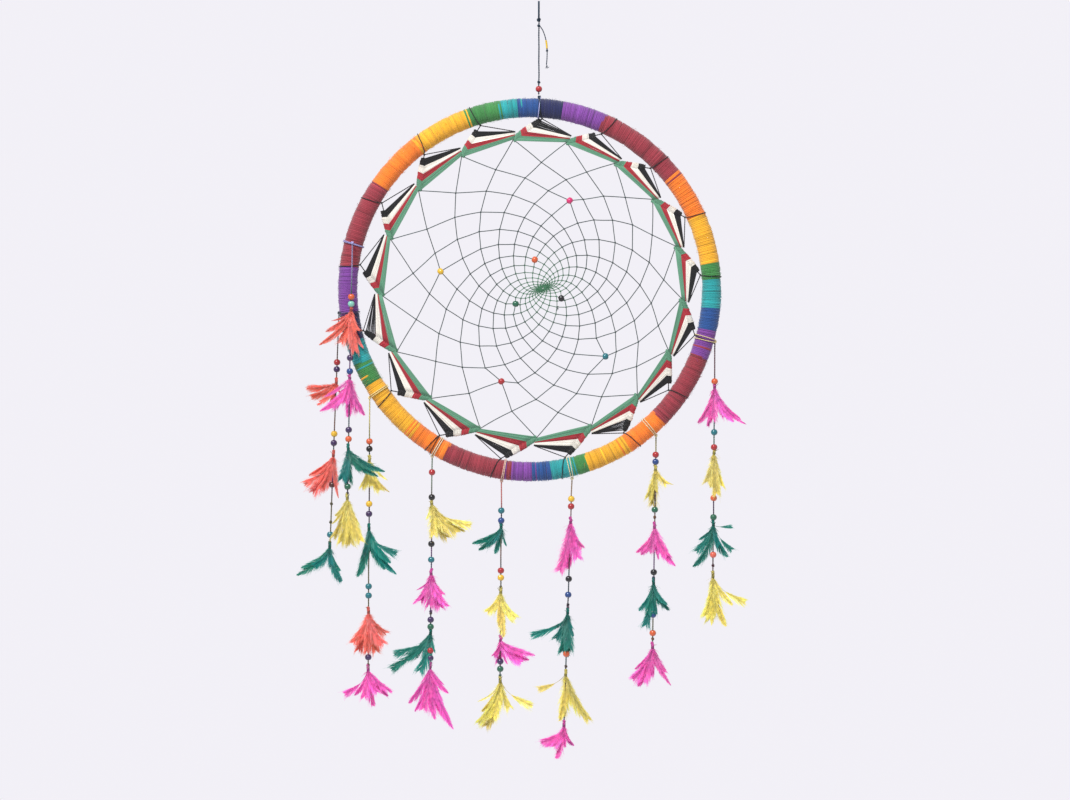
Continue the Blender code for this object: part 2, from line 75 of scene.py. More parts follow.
# Hoop: one yarn wound round a sleeve that carries painted shade for the gaps between its turns, with loose
# fibres that stand off it.
HOOP_R = 218.3 * MM
YARN_TURNS = 720
TURN_STEPS = 24
FIRST_TURN = math.radians(2.9)
SLEEVE_R = 10.1 * MM
YARN_LAY_R = 10.75 * MM
YARN_HALF = 1.22 * MM
YARN_SQUASH = 0.78
HAIRS = 2600
HAIR_R = 0.09 * MM
# The variegated yarn round the hoop: the angle at which each colour starts, in degrees.
HOOP_BANDS = (
    (-3, "blue"), (2.8, "navy"), (10.4, "purple"), (23.5, "maroon"), (51.5, "orange"), (66.8, "yellow"),
    (81, "green"), (87, "teal"), (95, "blue"), (103, "purple"), (112, "maroon"), (134.5, "orange"),
    (149, "yellow"), (161.5, "green"), (166.5, "teal"), (173, "blue"), (179, "purple"), (186, "maroon"),
    (207, "orange"), (220, "yellow"), (239, "green"), (246, "teal"), (253, "navy"), (262, "purple"),
    (277, "maroon"), (305, "orange"), (323, "yellow"), (340.5, "green"), (350, "teal"),
)
HOOP_COLOURS = {
    "blue": (0.15, 0.305, 0.54), "navy": (0.14, 0.16, 0.325), "purple": (0.48, 0.26, 0.58),
    "maroon": (0.58, 0.215, 0.26), "orange": (0.93, 0.49, 0.16), "yellow": (0.90, 0.66, 0.17),
    "green": (0.245, 0.51, 0.27), "teal": (0.16, 0.59, 0.60),
}

# Border: its spines and corners lie as in the CAD part.
SPINES = 17
STEP = TAU / SPINES
UNEVENNESS = math.radians(3.0)
MOST_AHEAD = math.radians(-27)
TIE_R = 203.6 * MM
FIRST_TIE = math.radians(1.5)
CORNER_R = 188 * MM
FIRST_CORNER = math.radians(-9.9)
BORDER_CENTRE = np.array((3.0, 1.9)) * MM
TIP_INSET = 8.4 * MM
FACE_LENGTH = 9.0 * MM
FACE_RISE = 1.4 * MM
# Each yarn of the border: where its wound block starts and ends on a spine, as a share of the way from
# the web's corner to the hoop, how many threads run on to the next corner, the share of that corner's
# face that they reach, how far in front they run, their radius, and the block's half width.
BorderYarn = namedtuple("BorderYarn", "start end threads face front thick half colour")
BORDER_YARNS = {
    "green": BorderYarn(0.02, 0.27, 7, (0.02, 0.44), 1.3 * MM, 0.72 * MM, 4.3 * MM, (0.37, 0.57, 0.46)),
    "red": BorderYarn(0.27, 0.46, 6, (0.46, 0.60), 1.05 * MM, 0.66 * MM, 4.2 * MM, (0.69, 0.20, 0.24)),
    "white": BorderYarn(0.46, 0.66, 7, (0.67, 0.82), 0.8 * MM, 0.78 * MM, 4.0 * MM, (0.90, 0.88, 0.84)),
    "black": BorderYarn(0.66, 0.86, 7, (0.86, 1.0), 0.55 * MM, 0.72 * MM, 3.7 * MM, (0.11, 0.11, 0.12)),
}
# How far the blocks of some spines reach, against the usual, and the spines whose black block runs longer.
BLOCK_REACH = {13: 0.92, 14: 0.92, 15: 1.05}
LONG_BLACK = (0, 7, 12)
LONG_BLACK_END = 0.95
# A block's width against its full width, by the share of the way along the spine.
BLOCK_WIDTHS = ((0.0, 0.06, 1.0), (0.45, 1.0, 1.0))
BLACK_WIDTHS = ((0.66, 0.8, 0.95), (1.0, 0.95, 0.55))
BLOCK_PITCH = 0.98 * MM
BLOCK_THREAD_R = 0.56 * MM
BLOCK_DEPTH = 1.55 * MM
TIE_LAY_R = 12.15 * MM

# Web: its knots lie nearly as in the CAD part, whose rings end at an open hub.
WEB_RINGS = 24
CAD_WEB_RINGS = 16
FIRST_RING_R = 151 * MM
RING_DECAY = 0.118
DECAY_GROWTH = 0.00395
WEB_TURN = math.radians(0.7)
TURN_GROWTH = math.radians(0.09)
HUB_CENTRE = np.array((16.0, 1.8)) * MM
CENTRE_DRIFT = 0.55
# The rings are drawn out along a line through the hub, more and more so towards it.
HUB_STRETCH = 0.34
HUB_LINE = math.radians(68)
WEB_END = np.array((27.8, -22.0)) * MM
WEB_THREAD_R = 0.54 * MM
WEB_COLOUR = (0.25, 0.30, 0.30)
HUB_COLOUR = (0.26, 0.46, 0.34)
# The rings between which the thread turns from the web's colour to the hub's.
HUB_FADE = (7, 13)
HITCH_THREAD_R = 0.42 * MM
BEAD_GAP = 2.6 * MM
WEB_BEADS = ("pink", "yellow", "orange", "green", "black", "teal", "red")
CORNER_KNOT_COLOUR = (0.25, 0.42, 0.31)

# Beads.
BEAD_R = 4.0 * MM
BEAD_HALF = 3.5 * MM
BORE_R = 1.0 * MM
BEAD_ROUNDNESS = 2.3
BEAD_SIDES = 24
BEAD_COLOURS = {
    "red": (0.64, 0.13, 0.15), "purple": (0.21, 0.12, 0.31), "yellow": (0.86, 0.69, 0.17),
    "brown": (0.27, 0.11, 0.10), "teal": (0.06, 0.41, 0.45), "orange": (0.80, 0.34, 0.16),
    "blue": (0.09, 0.24, 0.48), "green": (0.10, 0.36, 0.26), "black": (0.05, 0.05, 0.07),
    "coral": (0.84, 0.37, 0.29), "pink": (0.80, 0.15, 0.41), "mint": (0.48, 0.72, 0.66),
}
# The beads of each strand, from the top down.
STRAND_BEADS = {
    1: "red purple yellow purple brown teal",
    2: "orange mint purple blue purple orange green",
    3: "orange black yellow purple teal teal purple",
    4: "red black black teal purple green red purple",
    5: "teal blue red yellow purple green",
    6: "yellow red black blue purple orange",
    7: "red blue green black blue orange",
    8: "orange teal red orange green coral",
}
FEATHER_COLOURS = {
    "coral": (0.99, 0.54, 0.49), "pink": (0.98, 0.47, 0.82), "teal": (0.20, 0.60, 0.55),
    "yellow": (0.96, 0.91, 0.54),
}
# Kinds of feather: the vane's half width, the share of the quill left bare below it, how downy it is, and
# how soon the vane widens and narrows.
FEATHER_KINDS = {
    "plume": (5.6 * MM, 0.04, 0.8, 0.42, 0.36), "blade": (3.3 * MM, 0.06, 0.3, 0.5, 0.85),
    "spoon": (4.0 * MM, 0.52, 0.15, 0.75, 0.42), "wisp": (2.4 * MM, 0.12, 1.0, 0.3, 0.8),
}
# The feathers of each tuft, from the photograph: the kind's first letter, then how far the tip reaches to
# the side (left is negative) and down, as percentages of the tuft's own reach.
TUFT_FEATHERS = {
    "1_1": "p-100,25 p-85,60 b-65,95 b-30,100 w80,50 p-30,55",
    "1_2": "p-100,68 p-72,85 p-40,75 b-88,48 w70,100 p10,60",
    "1_3": "b-100,82 b-88,62 p-45,55 b100,100 b72,88 b90,70 p10,48",
    "2_1": "b-100,88 w-62,28 b-80,55 p-30,80 p30,100 w100,96 p45,50",
    "2_2": "b-100,86 p-60,72 w-85,50 b-5,100 b100,96 p55,80 p-15,60",
    "2_3": "p-75,92 p0,100 b100,72 b82,88 p35,62 w-90,60",
    "2_4": "w-130,58 p-115,84 p-50,96 p30,100 p125,94 p90,78 b-100,40 w120,60",
    "3_1": "p-100,80 b-50,60 p10,72 w100,98 w92,62 p50,90",
    "3_2": "b-100,100 b-72,78 b-45,60 b100,96 s98,52 b58,86 b80,72 p5,48",
    "3_3": "p-92,78 p-62,96 p-10,100 p42,98 p88,80 p100,55 w-30,92 w60,90 p-40,60",
    "3_4": "s-100,66 b-62,72 p-15,72 b22,100 b100,62 b82,74 p35,60",
    "4_1": "p5,92 p38,100 p62,86 b88,84 s100,66 w-90,50 p20,60",
    "4_2": "w-100,92 p-55,80 p-10,92 p50,100 b100,98 p60,62 w-80,50",
    "4_3": "s-100,96 s-94,58 b-70,78 p-55,62 p-28,100 p-30,45 w70,55",
    "4_4": "b-100,58 b-72,72 p-30,66 w60,30 b78,42 p15,62 b100,100 b80,90 b20,84",
    "5_1": "b-100,62 b-78,86 b-52,74 b-22,100 p-30,52 w80,72",
    "5_2": "p-100,44 p-60,40 p100,56 w30,74 b20,100 w88,70 b-10,78",
    "5_3": "p-95,62 p-30,88 b100,64 b82,84 p58,92 p60,56 w20,100",
    "5_4": "p-95,92 p-62,100 w-100,46 s100,56 p-30,78 p28,58 b-82,68",
    "6_1": "p-100,98 p-62,88 p45,34 p100,52 p62,72 b-20,96 p0,50",
    "6_2": "s-100,50 p-32,58 b90,52 b5,100 p22,76 p-14,86 w100,38 b-62,40",
    "6_3": "s-100,32 p-10,84 p96,96 p70,82 b-22,100 p35,52",
    "6_4": "p-100,52 b-82,66 p-42,62 b-34,100 b12,66 b100,62 b60,48 p20,36",
    "7_1": "p-100,78 p-42,100 p55,42 w100,46 p-12,58 b-72,88",
    "7_2": "b-100,66 b-72,72 p-28,62 p28,60 b100,100 b82,88 p58,72 w20,84",
    "7_3": "b-100,66 s-52,100 p-34,70 b100,66 b86,52 p42,46 b18,74",
    "7_4": "p-96,80 b-74,100 p-46,84 p-12,70 w100,96 p60,62 b-90,56 b30,52",
    "8_1": "b-100,92 b-40,100 p-16,78 p34,68 w100,96 b84,84 b60,90",
    "8_2": "p-100,72 p92,80 p34,100 p0,56 w-60,88",
    "8_3": "s100,6 b-68,36 b-100,98 p-78,62 s100,58 b84,76 p28,46 b-40,50",
    "8_4": "p-100,78 p-40,84 p10,72 s100,52 b62,58 b42,100 w-20,98",
}
# The colours along the strands' cords, each cord's first one, and that of the wraps that tie it.
CORD_COLOURS = (
    (0.30, 0.16, 0.20), (0.18, 0.30, 0.33), (0.38, 0.22, 0.42), (0.36, 0.34, 0.22), (0.16, 0.17, 0.22),
    (0.45, 0.30, 0.22), (0.22, 0.36, 0.30),
)
CORD_STARTS = {
    1: (0.30, 0.33, 0.36), 2: (0.55, 0.52, 0.66), 3: (0.80, 0.76, 0.50), 4: (0.42, 0.50, 0.42),
    5: (0.74, 0.42, 0.40), 6: (0.58, 0.48, 0.38), 7: (0.55, 0.52, 0.26), 8: (0.36, 0.20, 0.24),
}
WRAP_COLOURS = {
    1: (0.30, 0.33, 0.36), 2: (0.62, 0.60, 0.80), 3: (0.93, 0.86, 0.60), 4: (0.90, 0.86, 0.74),
    5: (0.88, 0.74, 0.68), 6: (0.90, 0.86, 0.72), 7: (0.90, 0.84, 0.68), 8: (0.90, 0.82, 0.62),
}
BLACK_WRAP_COLOUR = (0.08, 0.08, 0.1)
WRAP_R = 0.62 * MM
WRAP_LAY_R = 12.75 * MM
CORD_R = 0.92 * MM
CORD_KNOT_R = 2.0 * MM
PLY_LAY = 4.2 * MM
# The CAD part's cords have this many sides. Their beads and knots are told by their radii.
THIN_SIDES = 6
RING_GAP = 0.12 * MM
LEAST_KNOT = 1.3 * MM
LEAST_BEAD = 2.8 * MM

# Feathers: their barbs' widths and shades go from the quill to the barb's tip.
BARB_PITCH = 0.32 * MM
BARB_HALF = 0.24 * MM
BARB_WIDTHS = np.array((1.0, 1.0, 0.85, 0.3))
BARB_SHADES = np.array((0.84, 0.97, 1.06, 1.12))
LEAST_BARB = 0.6 * MM
MOST_BARB = 15 * MM
STRAY_SHARE = 0.14
FULL_FEATHER = 36 * MM
QUILL_STEPS = 12
TUFT_DEEP = 7.5 * MM
FLUFF_COUNT = 110
FLUFF_REACH = 7 * MM
FLUFF_DROP = 9 * MM

# Hanger.
HANGER_COLOUR = (0.10, 0.20, 0.28)
HANGER_R = 0.95 * MM
LOOP_CORD_R = 1.2 * MM
BINDING_COLOUR = (0.85, 0.70, 0.18)
LILAC_COLOUR = (0.72, 0.72, 0.92)
PURPLE_COLOUR = (0.30, 0.20, 0.42)

# Studio.
WALL_COLOUR = (0.95, 0.942, 0.968)
SENSOR_WIDTH = 36.0
FIELD_WIDTH = 1.284
CAMERA_AWAY = 5.0
CAMERA_PLACE = (-0.0046, -CAMERA_AWAY, -0.4769)
FLOOR_R = 0.9
FLOOR_LEVEL = -1.3
LAMP_PLACE = (-1.1, -2.5, 2.2)
LAMP_AIM = (0, 0, -0.45)


def linear(colour):
    """A screen colour as scene-linear values."""
    values = np.asarray(colour, float)
    return np.where(values <= 0.04045, values / 12.92, ((values + 0.055) / 1.055) ** 2.4)


def toned(tint, tones):
    """A tint times a tone for each line."""
    return np.clip(tint * np.array(tones)[:, None, None], 0, 1)


def rng_for(number):
    return np.random.default_rng(SEED + number)


def unit(vectors):
    return vectors / np.maximum(np.linalg.norm(vectors, axis=-1, keepdims=True), 1e-12)


def wander(rng, count, every):
    """A smooth random line between -1 and 1 with a new value every so many samples."""
    knots = rng.uniform(-1, 1, max(2, int(count / every) + 3))
    return np.interp(np.arange(count) / every, np.arange(len(knots)), knots)


def middle_of(node):
    lo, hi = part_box(node)
    return np.array((lo + hi) / 2)


class Shape:
    """Vertices, quads, colours and UVs gathered into one mesh."""

    def __init__(self):
        self.points, self.quads, self.tints, self.uvs, self.count = [], [], [], [], 0

    def add(self, points, quads, tints, uvs):
        points = points.reshape(-1, 3)
        self.points.append(points)
        self.quads.append(quads.reshape(-1, 4) + self.count)
        self.tints.append(np.broadcast_to(tints, points.shape))
        self.uvs.append(uvs.reshape(-1, 2))
        self.count += len(points)

    def build(self, name, look, body, node=None, slot=None):
        """The mesh as a visible piece that rides on a body and stands in for a CAD node."""
        mesh = bpy.data.meshes.new(name)
        points, quads = np.concatenate(self.points), np.concatenate(self.quads)
        mesh.vertices.add(len(points))
        mesh.vertices.foreach_set("co", points.astype(np.float32).ravel())
        mesh.loops.add(quads.size)
        mesh.loops.foreach_set("vertex_index", quads.astype(np.int32).ravel())
        mesh.polygons.add(len(quads))
        mesh.polygons.foreach_set("loop_start", np.arange(0, quads.size, 4, dtype=np.int32))
        mesh.update(calc_edges=True)
        colours = np.ones((len(points), 4), np.float32)
        colours[:, :3] = np.concatenate(self.tints)
        layer = mesh.color_attributes.new("tint", "FLOAT_COLOR", "POINT")
        layer.data.foreach_set("color", colours.ravel())
        uv = mesh.uv_layers.new(name="fibre")
        uv.data.foreach_set("uv", np.concatenate(self.uvs).astype(np.float32).ravel())
        mesh.shade_smooth()
        mesh.materials.append(look)
        piece = bpy.data.objects.new(name, mesh)
        bpy.context.scene.collection.objects.link(piece)
        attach(piece, body)
        if node:
            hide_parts(node)


def skin(shape, rings, lengths, tints):
    """Quads over tubes. rings is (lines, steps, sides, 3); lengths and tints are given for each step."""
    lines, steps, sides = rings.shape[:3]
    index = np.arange(lines * steps * sides).reshape(lines, steps, sides)
    after = np.roll(index, -1, axis=2)
    quads = np.stack([index[:, :-1], after[:, :-1], after[:, 1:], index[:, 1:]], -1)
    around = np.arange(sides + 1) / sides
    uvs = np.empty((lines, steps - 1, sides, 4, 2))
    uvs[..., 0, 0] = uvs[..., 3, 0] = around[:-1]
    uvs[..., 1, 0] = uvs[..., 2, 0] = around[1:]
    uvs[..., 0, 1] = uvs[..., 1, 1] = lengths[:, :-1, None] / MM
    uvs[..., 2, 1] = uvs[..., 3, 1] = lengths[:, 1:, None] / MM
    shape.add(rings, quads, np.repeat(tints[:, :, None], sides, 2).reshape(-1, 3), uvs)


def sweep(shape, points, radii, tint, sides=6, up=(0.0, 1.0, 0.0), squash=1.0, cap=True):
    """Cords along many lines at once. points is (lines, steps, 3); radii and tint broadcast to it.

    up is a direction that no line runs along, and squash narrows the section along it. cap closes the ends.
    """
    points = np.asarray(points, float)
    if points.ndim == 2:
        points = points[None]
    lines, steps = points.shape[:2]
    radii = np.broadcast_to(radii, (lines, steps)).astype(float)
    tint = np.broadcast_to(tint, (lines, steps, 3))
    up = np.broadcast_to(up, points.shape)
    tangent = unit(np.gradient(points, axis=1))
    if cap:
        points, tangent, up, tint = (
            np.concatenate([part[:, :1], part, part[:, -1:]], 1) for part in (points, tangent, up, tint)
        )
        radii = np.concatenate([radii[:, :1] * 0.05, radii, radii[:, -1:] * 0.05], 1)
        steps += 2
    side = unit(np.cross(tangent, up))
    top = np.cross(side, tangent)
    turn = TAU * np.arange(sides) / sides
    ring = side[:, :, None] * np.cos(turn)[:, None] + top[:, :, None] * (squash * np.sin(turn))[:, None]
    length = np.zeros((lines, steps))
    length[:, 1:] = np.cumsum(np.linalg.norm(np.diff(points, axis=1), axis=-1), 1)
    skin(shape, points[:, :, None] + ring * radii[:, :, None, None], length, tint)


def resample(points, spacing):
    """The line through these points, with points evenly spaced along it, and how far along each lies."""
    points = np.asarray(points, float)
    reach = np.concatenate([[0], np.cumsum(np.linalg.norm(np.diff(points, axis=0), axis=1))])
    far = np.linspace(0, reach[-1], max(3, int(reach[-1] / spacing) + 1))
    return np.stack([np.interp(far, reach, points[:, k]) for k in range(3)], 1), far


def plied(shape, points, radius, tint, up=(0.0, 1.0, 0.0), lay=PLY_LAY):
    """A cord of two twisted plies along a line. tint is a colour, or gives one for each distance along."""
    line, far = resample(points, lay / 7)
    tangent = unit(np.gradient(line, axis=0))
    side = unit(np.cross(tangent, np.broadcast_to(up, line.shape)))
    top = np.cross(side, tangent)
    colours = tint(far) if callable(tint) else np.broadcast_to(tint, line.shape)
    for ply, shade in enumerate((0.86, 1.14)):
        turn = TAU * (far / lay + ply / 2)
        off = side * np.cos(turn)[:, None] + top * np.sin(turn)[:, None]
        sweep(shape, line + off * radius * 0.46, radius * 0.6, colours * shade, up=off)


def knot(shape, centre, radius, tint, rng, axis=(0, 0, 1)):
    """A small overhand knot drawn tight, as a closed trefoil of cord."""
    turn = np.linspace(0, TAU, 41)
    loop = radius * 0.52
    a, b = 0.62 + 0.3 * np.cos(3 * turn), 0.75 * np.sin(3 * turn)
    line = np.stack([a * np.cos(2 * turn), a * np.sin(2 * turn), b * 0.9], 1) * loop * 1.3
    axis = unit(np.asarray(axis, float))
    first = unit(np.cross(axis, rng.normal(size=3)))
    second = np.cross(axis, first)
    line = line[:, :1] * first + line[:, 1:2] * second + line[:, 2:] * axis
    sweep(shape, np.asarray(centre) + line, radius * 0.42, tint, up=unit(line + 1e-6), cap=False)


def bead(shape, centre, axis, tint):
    """A turned wooden bead: round sides, small flats at its ends, and a bore, with painted shade in the
    bore.
    """
    share = np.sin(np.linspace(-1, 1, 15) * math.pi / 2)
    outer = BEAD_R * (1 - np.abs(share) ** BEAD_ROUNDNESS) ** (1 / BEAD_ROUNDNESS)
    outer = np.maximum(outer + BORE_R * np.abs(share) ** 8, BORE_R)
    radii = np.array([BORE_R * 0.9, *outer, BORE_R * 0.9])
    heights = np.array([-0.55, *share, 0.55]) * BEAD_HALF
    axis = unit(np.asarray(axis, float))
    first = unit(np.cross(axis, (0.31, 0.9, 0.17)))
    second = np.cross(axis, first)
    turn = TAU * np.arange(BEAD_SIDES) / BEAD_SIDES
    ring = first * np.cos(turn)[:, None] + second * np.sin(turn)[:, None]
    rings = np.asarray(centre) + ring[None] * radii[:, None, None] + axis * heights[:, None, None]
    # Painted shade in the bore: the hole and its rim take the paint's colour at 0.45.
    bore_shade = np.where(radii < BEAD_R * 0.42, 0.45, 1.0)
    skin(shape, rings[None], heights[None], (tint * bore_shade[:, None])[None])


# ---- materials

def feed(node, inputs):
    """Gives a node's inputs these values or other nodes' outputs."""
    for key, value in inputs.items():
        if isinstance(value, bpy.types.NodeSocket):
            node.id_data.links.new(value, node.inputs[key])
        else:
            node.inputs[key].default_value = value
    return node


def add_node(tree, kind, **inputs):
    """A new node. Its inputs' names are written with _ for a space."""
    return feed(tree.nodes.new(kind), {key.replace("_", " "): value for key, value in inputs.items()})


def node_material(name):
    made = bpy.data.materials.new(name)
    made.use_nodes = True
    return made, made.node_tree, made.node_tree.nodes["Principled BSDF"]


def tinted(tree, coordinate, scale, low, high):
    """The tint attribute, made lighter and darker by a noise on this coordinate, and the noise."""
    tint = add_node(tree, "ShaderNodeAttribute")
    tint.attribute_name = "tint"
    noise = add_node(tree, "ShaderNodeTexNoise", Vector=coordinate, Scale=scale, Detail=3.0).outputs["Fac"]
    spread = add_node(
        tree, "ShaderNodeMapRange", Value=noise, From_Min=0.3, From_Max=0.7, To_Min=low, To_Max=high
    )
    scaled = add_node(tree, "ShaderNodeVectorMath")
    scaled.operation = "SCALE"
    feed(scaled, {0: tint.outputs["Color"], "Scale": spread.outputs["Result"]})
    return scaled.outputs["Vector"], noise


def streaked(tree, across, along, low, high):
    """The tint with a noise stretched into streaks along a thread by the UV map."""
    uv = add_node(tree, "ShaderNodeUVMap")
    uv.uv_map = "fibre"
    stretch = add_node(tree, "ShaderNodeMapping", Vector=uv.outputs["UV"], Scale=(across, along, 1.0))
    return tinted(tree, stretch.outputs["Vector"], 1.0, low, high)


def bump(tree, height, distance, strength):
    node = add_node(tree, "ShaderNodeBump", Strength=strength, Distance=distance, Height=height)
    return node.outputs["Normal"]


def thread_material(name, roughness, sheen):
    """Spun fibre: streaks along the thread, a soft bump and a fibrous sheen."""
    made, tree, shader = node_material(name)
    colour, height = streaked(tree, 9.0, 1.1, 0.72, 1.2)
    feed(shader, {
        "Base Color": colour, "Roughness": roughness, "Sheen Weight": sheen, "Specular IOR Level": 0.25,
        "Normal": bump(tree, height, 0.25 * MM, 0.8),
    })
    return made


def bead_material(name):
    """Turned wood under glossy paint: faint grain, small chips of tone and a clear coat."""
    made, tree, shader = node_material(name)
    colour, height = streaked(tree, 14.0, 0.5, 0.86, 1.12)
    feed(shader, {
        "Base Color": colour, "Roughness": 0.28, "Coat Weight": 0.55, "Coat Roughness": 0.06,
        "Normal": bump(tree, height, 0.06 * MM, 0.5),
    })
    return made


def feather_material(name):
    """Dyed down: light comes through the barbs, and the dye is uneven."""
    made, tree, shader = node_material(name)
    place = add_node(tree, "ShaderNodeTexCoord")
    colour, _ = tinted(tree, place.outputs["Object"], 260.0, 0.86, 1.14)
    feed(shader, {"Base Color": colour, "Roughness": 0.7, "Specular IOR Level": 0.2, "Sheen Weight": 0.25})
    through = add_node(tree, "ShaderNodeBsdfTranslucent", Color=colour)
    mix = add_node(tree, "ShaderNodeMixShader", Fac=0.5)
    feed(mix, {1: shader.outputs["BSDF"], 2: through.outputs["BSDF"]})
    feed(tree.nodes["Material Output"], {"Surface": mix.outputs["Shader"]})
    return made


def cane_material(name):
    """Bent cane: long grain and darker nodes."""
    made, tree, shader = node_material(name)
    place = add_node(tree, "ShaderNodeTexCoord").outputs["Object"]
    noise = add_node(tree, "ShaderNodeTexNoise", Vector=place, Scale=90.0, Detail=6.0, Distortion=0.6)
    ramp = add_node(tree, "ShaderNodeValToRGB", Fac=noise.outputs["Fac"])
    for end, colour in zip(ramp.color_ramp.elements, ((0.48, 0.33, 0.19), (0.74, 0.58, 0.38))):
        end.color = (*linear(colour), 1)
    normal = bump(tree, noise.outputs["Fac"], 0.3 * MM, 1.0)
    feed(shader, {"Base Color": ramp.outputs["Color"], "Roughness": 0.6, "Normal": normal})
    return made


# ---- places

CENTRE = middle_of("hoop_core")


def placed(points, y=0.0):
    """World places of points given as (right, up) from the hoop's centre, y behind its middle plane."""
    points = np.asarray(points)
    right, up, y = np.broadcast_arrays(points[..., 0], points[..., 1], y)
    return np.stack([CENTRE[0] + right, CENTRE[1] + y, CENTRE[2] + up], -1)


def on_front(radius, angle, centre=(0.0, 0.0)):
    return np.asarray(centre) + radius * np.array((math.sin(angle), math.cos(angle)))


def round_tube(angle, turn, radius):
    """Places round the hoop's tube: turn 0 is outermost and a quarter turn on is at the front."""
    reach = HOOP_R + radius * np.cos(turn)
    points = np.stack(np.broadcast_arrays(reach * np.sin(angle), reach * np.cos(angle)), -1)
    return placed(points, -radius * np.sin(turn))


def along_hoop(angle):
    angle = np.asarray(angle)
    return np.stack([np.cos(angle), np.zeros_like(angle), -np.sin(angle)], -1)


# ---- hoop

def band_tints(angle, rng, turns):
    """The yarn's colour at each angle. Some single turns, or parts of one, take a neighbour's colour."""
    starts = np.radians([start for start, _ in HOOP_BANDS])
    colours = np.array([linear(HOOP_COLOURS[name]) for _, name in HOOP_BANDS])
    number = np.floor(turns).astype(int)
    jitter = rng.normal(0, math.radians(0.7), number.max() + 2)
    odd = rng.random(number.max() + 2)
    slip = np.where(odd < 0.01, math.radians(4), np.where(odd < 0.02, -math.radians(4), 0))
    seen = (angle + jitter[number] + slip[number] - starts[0]) % TAU + starts[0]
    band = np.searchsorted(starts, seen, side="right") - 1
    tone = rng.normal(1.0, 0.055, number.max() + 2)[number] * (1 + 0.1 * wander(rng, len(turns), 9))
    light = rng.random(number.max() + 2)[number]
    tone = np.where(light < 0.05, tone * 1.22, np.where(light > 0.94, tone * 0.72, tone))
    return np.clip(colours[band] * tone[:, None], 0, 1)


def wind_yarn(shape, rng):
    """The yarn's turns round the hoop, lumpy and uneven."""
    count = YARN_TURNS * TURN_STEPS + 1
    turns = np.linspace(0, YARN_TURNS, count)
    sway = 0.4 * MM * wander(rng, count, TURN_STEPS / 2) / HOOP_R
    angle = TAU * turns / YARN_TURNS + sway + FIRST_TURN
    lump = 0.24 * MM * wander(rng, count, TURN_STEPS * 2.3) + 0.2 * MM * wander(rng, count, TURN_STEPS * 0.7)
    tints = band_tints(angle, rng, turns)
    line = round_tube(angle, TAU * turns, YARN_LAY_R + lump)
    radii = YARN_HALF * (1 + 0.14 * wander(rng, count, TURN_STEPS * 0.8))
    out = line - round_tube(angle, TAU * turns, YARN_LAY_R - MM)
    sweep(shape, line, radii, tints, up=unit(out), squash=YARN_SQUASH, sides=7)


def add_sleeve(shape):
    """A tube in the yarn's colours, darkened as painted shade, that closes the gaps between the turns."""
    ring = np.linspace(0, TAU, 361)
    # The yarn's colours at 0.6: painted shade in the gaps between the turns.
    gap_shade = band_tints(ring, rng_for(2), np.arange(361) * 0.2) * 0.6
    sweep(shape, round_tube(ring, np.zeros(361), 0.0), SLEEVE_R, gap_shade, sides=24, cap=False)


def add_hairs(shape, rng):
    """Loose fibres that stand off the yarn."""
    start = rng.uniform(0, TAU, HAIRS)
    turn = rng.uniform(0, TAU, HAIRS)
    rise = rng.uniform(0.3, 1.9, HAIRS) * MM
    swing = rng.normal(0, 0.35, HAIRS)
    run = rng.normal(0, 2.6, HAIRS) * MM / HOOP_R
    share = np.linspace(0, 1, 4)
    angles = start[:, None] + run[:, None] * share
    around = turn[:, None] + swing[:, None] * share
    reach = YARN_LAY_R + 0.9 * MM + rise[:, None] * np.sin(share * math.pi * 0.75)
    tints = np.clip(band_tints(start, rng_for(3), np.arange(HAIRS) * 0.1) * 1.25, 0, 1)
    sweep(shape, round_tube(angles, around, reach), HAIR_R, tints[:, None], sides=3, up=along_hoop(angles),
          cap=False)


def make_hoop():
    rng = rng_for(1)
    shape = Shape()
    wind_yarn(shape, rng)
    add_sleeve(shape)
    add_hairs(shape, rng)
    shape.build("hoop_yarn", thread_material("wrap_yarn_look", 0.88, 0.35), "hoop", "hoop_wrap", "wrap_yarn")
    core = frame["nodes"]["hoop_core"]
    core.data.materials.clear()
    core.data.materials.append(cane_material("cane_look"))


# ---- border

def spaced(i):
    return i * STEP + UNEVENNESS * math.cos(i * STEP - MOST_AHEAD)


def spine(i):
    """A spine's inner tip, the unit vector out along it, the one across it clockwise, and its length."""
    tie = on_front(TIE_R + 2.0 * MM, FIRST_TIE + spaced(i))
    tip = on_front(CORNER_R - TIP_INSET, FIRST_CORNER + spaced(i), BORDER_CENTRE)
    length = np.linalg.norm(tie - tip)
    out = (tie - tip) / length
    return tip, out, np.array((out[1], -out[0])), length


def across_at(out, across, share):
    """The way a block's turns run, which leans from square across the spine, most at the tip."""
    lean = math.radians(np.interp(share, (0, 0.27, 0.46, 0.7, 1), (44, 26, 18, 6, 0)))
    return across * math.cos(lean) - out * math.sin(lean)


def on_face(i, share):
    """A place on the face of a spine's corner, from its tip to its far end."""
    tip, out, across, _ = spine(i % SPINES)
    return tip - across_at(out, across, 0.0) * FACE_LENGTH * share + out * FACE_RISE


def block_ends(name, i):
    """Where this yarn's block starts and ends on this spine."""
    yarn = BORDER_YARNS[name]
    reach = BLOCK_REACH.get(i, 1 + 0.035 * math.sin(5.0 * i))
    long = name == "black" and i in LONG_BLACK
    return yarn.start * reach, LONG_BLACK_END if long else yarn.end * reach


